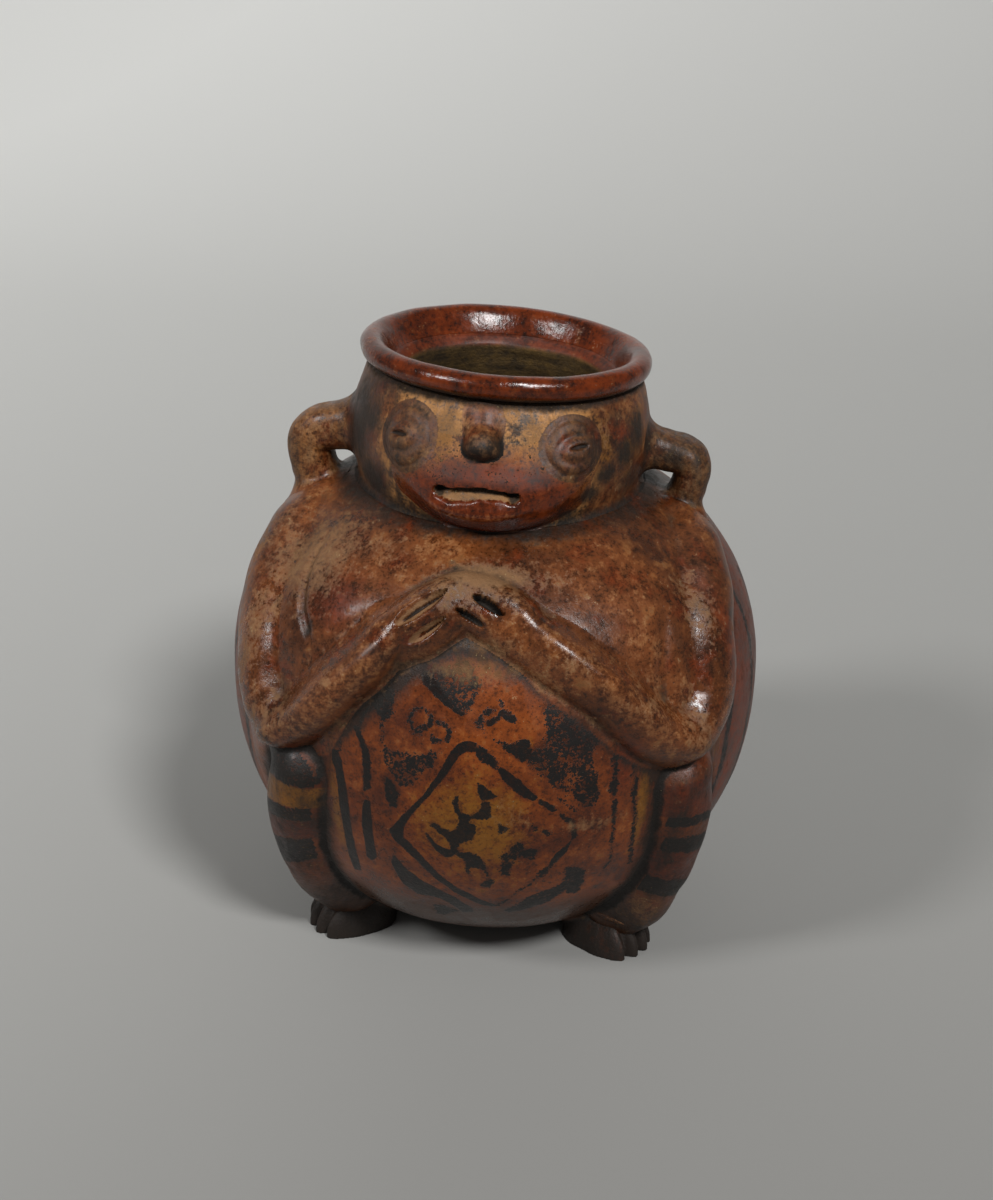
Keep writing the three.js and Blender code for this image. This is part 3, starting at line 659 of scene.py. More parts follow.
EYE_RADIUS, EYE_RISE, EYE_LEVEL, EYE_AZIMUTH = 7.4, 1.2, 20.8, 31.0
LID_HALF_LENGTH, LID_HALF_HEIGHT = 4.8, 2.7
MUZZLE_AZIMUTH, MUZZLE_HALF_ANGLE, MUZZLE_LEVEL, MUZZLE_CURL, MUZZLE_TILT = 0.8, 37.0, 7.2, 4.6, 1.2
MUZZLE_HALF_HEIGHT, MUZZLE_RISE = 9.4, 4.4
MOUTH_AZIMUTH, MOUTH_HALF_ANGLE, MOUTH_LEVEL, MOUTH_HALF_HEIGHT, MOUTH_DEPTH = -2.4, 13.2, 10.9, 1.4, 2.2
NOSE_AZIMUTH, NOSE_HALF_WIDTH, NOSE_RISE, NOSE_TIP_LEVEL, NOSE_LENGTH = -1.5, 4.9, 5.3, 21.5, 5.2


def head_line(azimuths, levels):
    """Points on the plain wall of the head, from azimuths and levels over the shoulder."""
    return wall_frame(head_radius, np.array(azimuths, dtype=float), SHOULDER_HEIGHT + np.array(levels))[0]


def spot_offsets(points, azimuth, level):
    """How far points lie to the right of a spot on the head and above it, in millimetres."""
    centre = head_line([azimuth], [level])[0]
    right = lay(azimuth + 90, 1.0, 0.0)
    return (points - centre) @ right, points[..., 2] - centre[2]


def muzzle_height(points, normals, before):
    """Height of the wall with the band of the muzzle on it, with its two lips."""
    shares = np.linspace(-1, 1, 25)
    line = head_line(
        MUZZLE_AZIMUTH + shares * (MUZZLE_HALF_ANGLE - 10),
        MUZZLE_LEVEL + MUZZLE_CURL * shares**2 - MUZZLE_TILT * shares,
    )
    fullness = np.stack([1 - 0.36 * np.abs(shares) ** 2.2, 1 - 0.62 * np.abs(shares) ** 2.4])
    ground = 0.2 * clay_noise(points, 7, 6.6)
    sizes = (MUZZLE_HALF_HEIGHT - 0.6, MUZZLE_HALF_HEIGHT + 1.6, MUZZLE_RISE, 2.4, 2.0, 5.0)
    level, fillet, _ = coil_height(ground, points, normals, line, fullness, sizes, 1)
    u, v = spot_offsets(points, MOUTH_AZIMUTH, MOUTH_LEVEL)
    lower_lip = np.exp(-(((v + 4.5 - 0.012 * u * u) / 2.1) ** 2) - (u / 13) ** 4)
    upper_lip = np.exp(-(((v - 4.4 + 0.006 * u * u) / 2.6) ** 2) - (u / 12) ** 4)
    dish = np.exp(-((u / 11) ** 4) - (v / 2.6) ** 4)
    above = np.exp(-((u / 17) ** 4) - ((v - 6.5) / 3.6) ** 2)
    return smooth_max(before, level + 1.3 * lower_lip + 0.3 * upper_lip - 0.5 * dish - 1.1 * above, fillet)


def mouth_cut(points):
    """Depth of the slit of the mouth, whose floor rises towards the lower lip."""
    u, v = spot_offsets(points, MOUTH_AZIMUTH, MOUTH_LEVEL)
    half = MOUTH_HALF_ANGLE * DEG * 45
    v = v - 0.35 * np.sin(0.42 * u + 0.8) - 0.1 * np.sin(1.3 * u)
    tall = MOUTH_HALF_HEIGHT * (1 + 0.18 * np.cos(0.3 * u + 1))
    past = np.maximum(np.abs(u) - (half - tall), 0) / tall
    edge = np.hypot(past, v / tall)
    opening = 1 - smoothstep(0.72, 1.12, edge)
    slope = 0.5 + 0.5 * smoothstep(-1.6, 1.3, v)
    pits = 0.9 * smoothstep(half - 5, half - 2, np.abs(u)) * smoothstep(-1.4, 0.6, v)
    return opening * (MOUTH_DEPTH * slope + pits)


def nose_height(points, before):
    """Height of the wall with the stub of the nose on it, with its two nostrils."""
    u, v = spot_offsets(points, NOSE_AZIMUTH, NOSE_TIP_LEVEL)
    u = u + 0.15 * v
    high = np.clip(v / NOSE_LENGTH, 0, 1)
    width = NOSE_HALF_WIDTH * (1 - 0.12 * high) + 0.2 * clay_noise(points, 4, 2.8)
    rise = NOSE_RISE * (1 - 0.72 * smoothstep(0, 1, high))
    share = (np.abs(u) / width) ** 2.1 + (np.maximum(-v, 0) / 3.0) ** 2.3
    share = share + (np.maximum(v - NOSE_LENGTH, 0) / 4.4) ** 2
    level = before + rise * np.maximum(1 - share, -2.0)
    for side in (-1, 1):
        level = level - 0.6 * np.exp(-((u - side * 2.0) ** 2 + (v + 2.6) ** 2))
    return smooth_max(before, level, 1.3)


def eye_height(points, before, side):
    """Height of the wall with the disc of an eye on it, with its lid and slit."""
    u, v = spot_offsets(points, side * EYE_AZIMUTH, EYE_LEVEL)
    u = u * side  # outwards
    out = np.hypot(u * 0.9, v * 1.06)
    disc = EYE_RISE * (1 - smoothstep(EYE_RADIUS - 3.2, EYE_RADIUS + 1.1, out))
    disc = disc - 0.24 * np.exp(-((out - EYE_RADIUS + 0.7) / 0.6) ** 2)
    height = before + disc
    lift = v + 0.35 * side - 0.06 * u * side
    lid = np.hypot((u - 0.9) / LID_HALF_LENGTH, lift / LID_HALF_HEIGHT)
    height = height + 0.8 * (1 - smoothstep(0.55, 1.15, lid)) - 0.15 * np.exp(-((lid - 1.25) / 0.2) ** 2)
    slit = np.hypot((u - 1.0) / (LID_HALF_LENGTH * 0.62), (lift - 0.35) / 0.7)
    height = height - 0.9 * (1 - smoothstep(0.5, 1.1, slit))
    return np.where(out < EYE_RADIUS + 2.2, height, before)


# The part of the head that each lies on: lowest and highest azimuth, lowest and highest level, and spacing
FACE_WINDOWS = {
    "lip_band": (-50, 56, -4.5, 23.5, 0.34), "nose": (-13, 13, 14, 30.4, 0.3),
    "left_eye_disc": (-EYE_AZIMUTH - 16, -EYE_AZIMUTH + 16, 9.5, 30.4, 0.27),
    "right_eye_disc": (EYE_AZIMUTH - 16, EYE_AZIMUTH + 16, 9.5, 30.4, 0.27),
}


def make_face():
    pieces = {}
    for name, (low_a, high_a, low_level, high_level, gap) in FACE_WINDOWS.items():
        azimuth, z = lattice(
            low_a, high_a, SHOULDER_HEIGHT + low_level, SHOULDER_HEIGHT + high_level, HEAD_GRID_RADIUS, gap
        )
        points, normals = wall_frame(head_radius, azimuth, z)
        ground = head_ground(azimuth, z)
        band = muzzle_height(points, normals, ground)
        before, cut, raised = band, None, None
        if name == "lip_band":
            before, cut, part = ground, mouth_cut(points), "lips"
            after, raised = band - cut, band - ground > RAISED
        elif name == "nose":
            after, part = nose_height(points, band), "nose"
        else:
            after, part = eye_height(points, band, -1 if low_a < 0 else 1), "eye"
            raised = np.abs(after - band) > RAISED
        values = face_values(points, azimuth, z, after, part, cut)
        pieces[name] = luted_sheet(name, points, normals, before, after, values, raised, settle=leaned)
    return pieces


# Lugs and feet, blended with the wall as solids

MAP_COLUMNS, MAP_ROWS = 480, 190
map_azimuth, map_z = np.meshgrid(
    np.linspace(-180, 180, int(MAP_COLUMNS / FINE) + 1),
    np.linspace(0, SHOULDER_HEIGHT, int(MAP_ROWS / FINE) + 1), indexing="ij",
)
map_height = luted_heights(map_azimuth, map_z)[2][-1]


def on_map(values, azimuth, z):
    """Values of a map of the body at azimuths and heights."""
    i = np.clip((np.asarray(azimuth) + 180) / 360, 0, 1) * (values.shape[0] - 1)
    j = np.clip(np.asarray(z) / SHOULDER_HEIGHT, 0, 1) * (values.shape[1] - 1)
    i0 = np.minimum(i.astype(int), values.shape[0] - 2)
    j0 = np.minimum(j.astype(int), values.shape[1] - 2)
    s, t = i - i0, j - j0
    low = values[i0, j0] * (1 - s) + values[i0 + 1, j0] * s
    high = values[i0, j0 + 1] * (1 - s) + values[i0 + 1, j0 + 1] * s
    return low * (1 - t) + high * t


def body_field(points):
    """Distance from the luted body, below nothing inside it."""
    radius = np.hypot(points[..., 0], points[..., 1])
    azimuth = azimuth_of(points)
    z = np.clip(points[..., 2], 0, SHOULDER_HEIGHT)
    _, normals = wall_frame(body_radius, azimuth, z)
    level = np.hypot(normals[..., 0], normals[..., 1])
    over = (points[..., 2] - z) * normals[..., 2]
    return (radius - body_radius(azimuth, z)) * level + over - on_map(map_height, azimuth, z)


def head_field(points):
    """Distance from the head, below nothing inside it."""
    radius = np.hypot(points[..., 0], points[..., 1])
    azimuth = azimuth_of(points)
    z = np.clip(points[..., 2], SHOULDER_HEIGHT - 6, RIM_SEAM)
    return radius - head_radius(azimuth, z) - head_ground(azimuth, z)


def neighbours(grid, axis):
    """The values of a grid but the last along an axis, and the value after each."""
    before = (slice(None),) * axis
    return grid[(*before, slice(None, -1))], grid[(*before, slice(1, None))]


def surface_net(field, low, high, gap):
    """A closed mesh of the solid inside which a field is below nothing, as points and quads."""
    gap = gap * FINE
    counts = [int(math.ceil((b - a) / gap)) + 1 for a, b in zip(low, high)]
    axes = [a + gap * np.arange(n) for a, n in zip(low, counts)]
    corners = np.stack(np.meshgrid(*axes, indexing="ij"), axis=-1)
    value = field(corners)
    inside = value < 0
    sums = np.zeros([n - 1 for n in counts] + [3])
    crossings = np.zeros([n - 1 for n in counts])
    for axis in range(3):
        a, b = neighbours(value, axis)
        start, end = neighbours(corners, axis)
        crossed = (a < 0) != (b < 0)
        share = np.where(crossed, a / np.where(crossed, a - b, 1), 0)
        at = start + share[..., None] * (end - start)
        others = [k for k in range(3) if k != axis]
        for da in (0, 1):
            for db in (0, 1):
                part = [slice(None)] * 3
                part[others[0]] = slice(da, da + counts[others[0]] - 1)
                part[others[1]] = slice(db, db + counts[others[1]] - 1)
                sums += np.where(crossed[tuple(part)][..., None], at[tuple(part)], 0)
                crossings += crossed[tuple(part)]
    active = crossings > 0
    index = np.cumsum(active.ravel()).reshape(active.shape) - 1
    points = sums[active] / crossings[active][:, None]
    faces = []
    for axis in range(3):
        a, b = neighbours(inside, axis)
        i, j, k = np.nonzero(a != b)
        spot = np.stack([i, j, k], axis=1)
        u, v = (axis + 1) % 3, (axis + 2) % 3
        ring = []
        for du, dv in ((-1, -1), (0, -1), (0, 0), (-1, 0)):
            cell = spot.copy()
            cell[:, u] += du
            cell[:, v] += dv
            ring.append(index[cell[:, 0], cell[:, 1], cell[:, 2]])
        quad = np.stack(ring, axis=1)
        leaving = a[i, j, k]
        faces.append(np.where(leaving[:, None], quad, quad[:, ::-1]))
    faces = np.vstack(faces)
    for _ in range(3):
        slope = np.stack([
            field(points + step) - field(points - step) for step in 0.05 * np.eye(3)
        ], axis=-1) / 0.1
        size = np.maximum((slope**2).sum(axis=-1), 0.2)
        points = points - np.clip(field(points) / size, -gap / 2, gap / 2)[:, None] * slope
    return points, faces


def main_shell(points, faces):
    """The shell with the most points, without the crumbs that a thin edge leaves."""
    ends = np.concatenate([faces, np.roll(faces, 1, axis=1)], axis=0).ravel()
    others = np.concatenate([np.roll(faces, 1, axis=1), faces], axis=0).ravel()
    shell = np.arange(len(points))
    while True:
        joined = shell.copy()
        np.minimum.at(joined, ends, shell[others])
        joined = joined[joined]
        if (joined == shell).all():
            break
        shell = joined
    kept = shell == np.bincount(shell).argmax()
    index = np.cumsum(kept) - 1
    return points[kept], index[faces[kept[faces[:, 0]]]]


def luted_solid(name, shape, carried_by, fillet, low, high):
    """A free-standing piece that runs out over what carries it, as a thin skin under that surface."""
    def field(points):
        own, carrier = shape(points), carried_by(points)
        joined = smooth_min(carrier + LAP, own, fillet)
        return np.maximum(np.maximum(joined, -(carrier + SOLID_SKIN)), own - 1.05 * fillet)

    points, faces = main_shell(*surface_net(field, low, high, SOLID_GAP))
    values = solid_values(points, shape(points), carried_by(points))
    return mesh_piece(name, points, faces, values, SOFT_CREASE)


def rounded(a, b, power):
    """Distance in a plane whose circles are drawn out towards squares by the power."""
    return (np.abs(a) ** power + np.abs(b) ** power) ** (1 / power)


LUG_HALF_DEPTH, LUG_FOOT_LEVEL, LUG_FOOT_SHARE = 7.0, -9.0, 0.9
SOLID_GAP = 0.45  # spacing of the grids that lugs and feet are found on
# Side, reach from the axis, level of the top and half thickness of each
LUGS = {"left_lug": (-1, 58.9, 18.0, 6.6), "right_lug": (1, 57.6, 14.6, 5.3)}


def lug_line(reach, top_level, h):
    """The middle of a lug's coil, as distances from the axis and heights, from its half thickness h."""
    top = SHOULDER_HEIGHT + top_level - h
    corner = reach - h
    foot = SHOULDER_HEIGHT + LUG_FOOT_LEVEL
    stops = [
        (NECK_LINING_RADIUS, top + 0.45 * h), (corner - 1.3 * h, top), (corner - 0.35 * h, top - 0.25 * h),
        (corner + 0.05 * h, top - 0.7 * h), (corner - 0.05 * h, top - 1.7 * h), (corner - 0.5 * h, foot),
    ]
    return catmull_rom(np.array(stops), np.ones((len(stops), 1)))[:, :2]


def lug_shape(sign, reach, top_level, half_thickness):
    """A bent coil with a squarish section, uneven as a hand leaves it."""
    line = lug_line(reach, top_level, half_thickness)
    line = np.column_stack([line[:, 0] * sign, np.zeros(len(line)), line[:, 1]])

    def shape(points):
        flat = points * [1, 0, 1]
        distance, _, part, _ = nearest_on_line(flat, line)
        thick = half_thickness * (1 + (LUG_FOOT_SHARE - 1) * part / (len(line) - 1))
        thick = thick + 0.35 * clay_noise(points, 6, 9.9) + 0.12 * clay_noise(points, 2.4, 1.2)
        deep = LUG_HALF_DEPTH + 0.5 * clay_noise(points, 9, 3.1)
        return (rounded(distance / thick, points[..., 1] / deep, 2.5) - 1) * 6.2

    return shape


def make_lugs():
    def carrier(points):
        return smooth_min(body_field(points), head_field(points), 2.0)

    pieces = {}
    for name, (sign, *sizes) in LUGS.items():
        low_x, high_x = sorted((sign * 31.5, sign * 66))
        pieces[name] = luted_solid(
            name, lug_shape(sign, *sizes), carrier, 4.6, (low_x, -17, 113), (high_x, 17, 159)
        )
    return pieces


FOOT_CENTRE_RADIUS, FOOT_HALF_LENGTH, FOOT_HALF_WIDTH, FOOT_HEIGHT, FOOT_TOE_OUT = 46.0, 12.5, 9.8, 11.5, 4.0
TOE_SPACING, TOE_BULGE, TOE_NOTCH = 4.6, 0.45, 1.15
FOOT_AZIMUTHS = {"left_foot": -53.0, "right_foot": 53.0}


def foot_offsets(points, azimuth):
    """How far points lie in front of a foot's middle and to the right of it, looking along the foot."""
    heading = azimuth + math.copysign(FOOT_TOE_OUT, azimuth)
    middle = lay(azimuth, FOOT_CENTRE_RADIUS, 0.0)
    return (points - middle) @ lay(heading, 1.0, 0.0), (points - middle) @ lay(heading + 90, 1.0, 0.0)


def foot_shape(azimuth):
    """A loaf with three notches between four toes."""
    def shape(points):
        ahead, across = foot_offsets(points, azimuth)
        up = points[..., 2]
        lumps = 0.3 * clay_noise(points, 5, 6.1)
        share = rounded(
            rounded(ahead / (FOOT_HALF_LENGTH + lumps), across / (FOOT_HALF_WIDTH + lumps), 2.5),
            up / (FOOT_HEIGHT + lumps), 2.2,
        )
        loaf = (share - 1) * 9.0
        toe = np.round(np.clip(across / TOE_SPACING - 0.5, -2, 1)) + 0.5
        bulge = TOE_BULGE * np.cos(np.pi * (across / TOE_SPACING - toe)) * smoothstep(3, 9, ahead)
        notch = 0.0
        for step in (-1, 0, 1):
            cut = np.exp(-((across - step * TOE_SPACING) / 1.0) ** 2) * smoothstep(6.5, 10.5, ahead)
            notch = np.maximum(notch, TOE_NOTCH * cut)
        return np.maximum(loaf - bulge + notch, -up)

    return shape


def make_feet():
    pieces = {}
    for name, azimuth in FOOT_AZIMUTHS.items():
        x, y, _ = lay(azimuth, FOOT_CENTRE_RADIUS, 0.0)
        pieces[name] = luted_solid(
            name, foot_shape(azimuth), body_field, 3.6, (x - 23, y - 23, -1.3), (x + 23, y + 23, 27)
        )
    return pieces


# Nodes

def add_node(tree, kind, inputs, **settings):
    """A node with its settings made and its inputs, by name or place, set to values or linked."""
    node = tree.nodes.new(kind)
    for key, value in settings.items():
        setattr(node, key, value)
    for key, value in inputs.items():
        value = value.socket if isinstance(value, Wire) else value
        if isinstance(value, bpy.types.NodeSocket):
            tree.links.new(value, node.inputs[key])
        else:
            node.inputs[key].default_value = value
    return node


def arithmetic(operation):
    """What a Wire does with one operation of a Math node."""
    def apply(self, *others):
        inputs = dict(enumerate((self, *others)))
        return Wire(self.tree, add_node(self.tree, "ShaderNodeMath", inputs, operation=operation).outputs[0])

    return apply


class Wire:
    """An output of a node, on which arithmetic adds Math nodes to its tree."""

    def __init__(self, tree, socket):
        self.tree, self.socket = tree, socket

    __add__, __sub__ = arithmetic("ADD"), arithmetic("SUBTRACT")
    __mul__, __truediv__ = arithmetic("MULTIPLY"), arithmetic("DIVIDE")
    reach, sine, cosine = arithmetic("POWER"), arithmetic("SINE"), arithmetic("COSINE")
    over, at_least, at_most = arithmetic("GREATER_THAN"), arithmetic("MAXIMUM"), arithmetic("MINIMUM")

    def __neg__(self):
        return self * -1.0

    def clipped(self, low=0.0, high=1.0):
        return self.at_least(low).at_most(high)

    def step(self, low, high):
        """A smooth step from nothing at low to one at high."""
        inputs = {"Value": self, "From Min": low, "From Max": high}
        node = add_node(self.tree, "ShaderNodeMapRange", inputs, interpolation_type="SMOOTHSTEP")
        return Wire(self.tree, node.outputs["Result"])

    def to(self, other, share):
        """This value where share is nothing, and the other where it is one."""
        return self + (other - self) * share


# The rim, from a tree whose inputs are its sizes

# Shares of the way over the rim at which the roll, the funnel and the seam underneath begin
ROLL_FROM, FUNNEL_FROM, UNDER_FROM = 0.08, 0.6, 0.94
ROLL_START_ANGLE, ROLL_TURN = -75.0, 220.0
RIM_STEPS_AROUND, RIM_STEPS_OVER = 420, 72


def rim_tree():
    """A rolled rim round the axis: up from the neck, round the lip, and down the funnel to the throat."""
    tree = bpy.data.node_groups.new("rolled rim", "GeometryNodeTree")
    tree.interface.new_socket("Geometry", in_out="OUTPUT", socket_type="NodeSocketGeometry")
    sizes = {
        "Seam Height": RIM_SEAM, "Neck Radius": NECK_TOP_RADIUS - 1.0, "Rim Radius": RIM_RADIUS,
        "Roll Radius": ROLL_RADIUS, "Rim Height": RIM_HEIGHT, "Funnel Radius": FUNNEL_RADIUS,
        "Lean": math.tan(RIM_LEAN * DEG), "Back Lean": math.tan(RIM_BACK_LEAN * DEG), "Offset": RIM_OFFSET,
        "Unevenness": 0.9,
    }
    for key in sizes:
        tree.interface.new_socket(key, in_out="INPUT", socket_type="NodeSocketFloat")
    for key in ("Steps Around", "Steps Over"):
        tree.interface.new_socket(key, in_out="INPUT", socket_type="NodeSocketInt")
    tree.interface.new_socket("Clay", in_out="INPUT", socket_type="NodeSocketMaterial")
    given = tree.nodes.new("NodeGroupInput")
    size = {key: Wire(tree, given.outputs[key]) for key in sizes}

    # A flat grid: across it is round the axis, and along it is over the rim
    grid = add_node(tree, "GeometryNodeMeshGrid", {
        "Vertices X": given.outputs["Steps Around"], "Vertices Y": given.outputs["Steps Over"],
        "Size X": 1.0, "Size Y": 1.0,
    })
    position = tree.nodes.new("GeometryNodeInputPosition").outputs[0]
    split = add_node(tree, "ShaderNodeSeparateXYZ", {0: position})
    azimuth = Wire(tree, split.outputs["X"]) * (2 * math.pi)
    over = Wire(tree, split.outputs["Y"]) + 0.5

    roll_centre = size["Rim Radius"] - size["Roll Radius"]
    roll_level = size["Rim Height"] - size["Roll Radius"]
    turn = (over - ROLL_FROM) / (FUNNEL_FROM - ROLL_FROM)
    angle = (turn.clipped() * ROLL_TURN + ROLL_START_ANGLE) * DEG
    roll_out = roll_centre + size["Roll Radius"] * angle.cosine()
    roll_up = roll_level + size["Roll Radius"] * angle.sine()
    side = (over / ROLL_FROM).clipped()
    side_out = size["Neck Radius"].to(roll_out, side.reach(1.6))
    side_up = roll_up * side
    down = ((over - FUNNEL_FROM) / (UNDER_FROM - FUNNEL_FROM)).clipped()
    funnel_out = roll_out.to(size["Funnel Radius"], down.reach(0.9))
    funnel_up = roll_up * (-down + 1.0).reach(1.15)
    across = ((over - UNDER_FROM) / (1 - UNDER_FROM)).clipped()
    under_out = size["Funnel Radius"].to(size["Neck Radius"], across)
    past_roll, past_funnel = over.over(FUNNEL_FROM), over.over(UNDER_FROM)
    radius = side_out.to(funnel_out, past_roll).to(under_out, past_funnel)
    rise = side_up.to(funnel_up, past_roll) * (-past_funnel + 1.0)
    seated = rise.step(0.0, size["Roll Radius"])

    # A hand-rolled rim is never quite round nor quite level
    spot = add_node(tree, "ShaderNodeCombineXYZ", {
        "X": azimuth.sine(), "Y": azimuth.cosine(), "Z": rise * 0.06,
    }).outputs[0]
    lump = []
    for scale, w in ((1.3, 2.0), (4.5, 8.0), (1.7, 21.0)):
        inputs = {"Vector": spot, "Scale": scale, "W": w, "Detail": 1.0}
        noise = add_node(tree, "ShaderNodeTexNoise", inputs, noise_dimensions="4D")
        lump.append((Wire(tree, noise.outputs[0]) - 0.5) * 2.0)
    push = (lump[0] + lump[1] * 0.35) * size["Unevenness"] * seated
    radius = radius + push * 0.9
    rise = rise + lump[2] * size["Unevenness"] * seated * 0.7
    dip = (size["Lean"] * azimuth.sine() - size["Back Lean"] * azimuth.cosine()) * radius
    height = size["Seam Height"] + rise - dip
    place = add_node(tree, "ShaderNodeCombineXYZ", {
        "X": (radius * azimuth.sine() + size["Offset"]) * MM, "Y": -(radius * azimuth.cosine()) * MM,
        "Z": height * MM,
    })
    made = grid.outputs["Mesh"]
    for kind, inputs in (
        ("SetPosition", {"Position": place.outputs[0]}), ("MergeByDistance", {"Distance": 0.004 * MM}),
        ("SetShadeSmooth", {}), ("RealizeInstances", {}),
        ("SetMaterial", {"Material": given.outputs["Clay"]}),
    ):
        made = add_node(tree, "GeometryNode" + kind, {0: made, **inputs}).outputs[0]
    add_node(tree, "NodeGroupOutput", {0: made})
    sizes["Steps Around"] = int(RIM_STEPS_AROUND / FINE)
    sizes["Steps Over"] = int(RIM_STEPS_OVER / FINE)
    return tree, sizes


def grown(name, tree, inputs):
    """The plain mesh that a tree makes, as a piece."""
    seed = bpy.data.objects.new(name, bpy.data.meshes.new(name))
    bpy.context.collection.objects.link(seed)
    modifier = seed.modifiers.new("grow", "NODES")
    modifier.node_group = tree
    for item in tree.interface.items_tree:
        if item.item_type == "SOCKET" and item.in_out == "INPUT" and item.name in inputs:
            modifier[item.identifier] = inputs[item.name]
    seed.update_tag()
    graph = bpy.context.evaluated_depsgraph_get()
    mesh = bpy.data.meshes.new_from_object(seed.evaluated_get(graph), depsgraph=graph)
    seed.modifiers.clear()
    seed.data = mesh
    return seed


# Colour fields, kept as values at the points of each piece

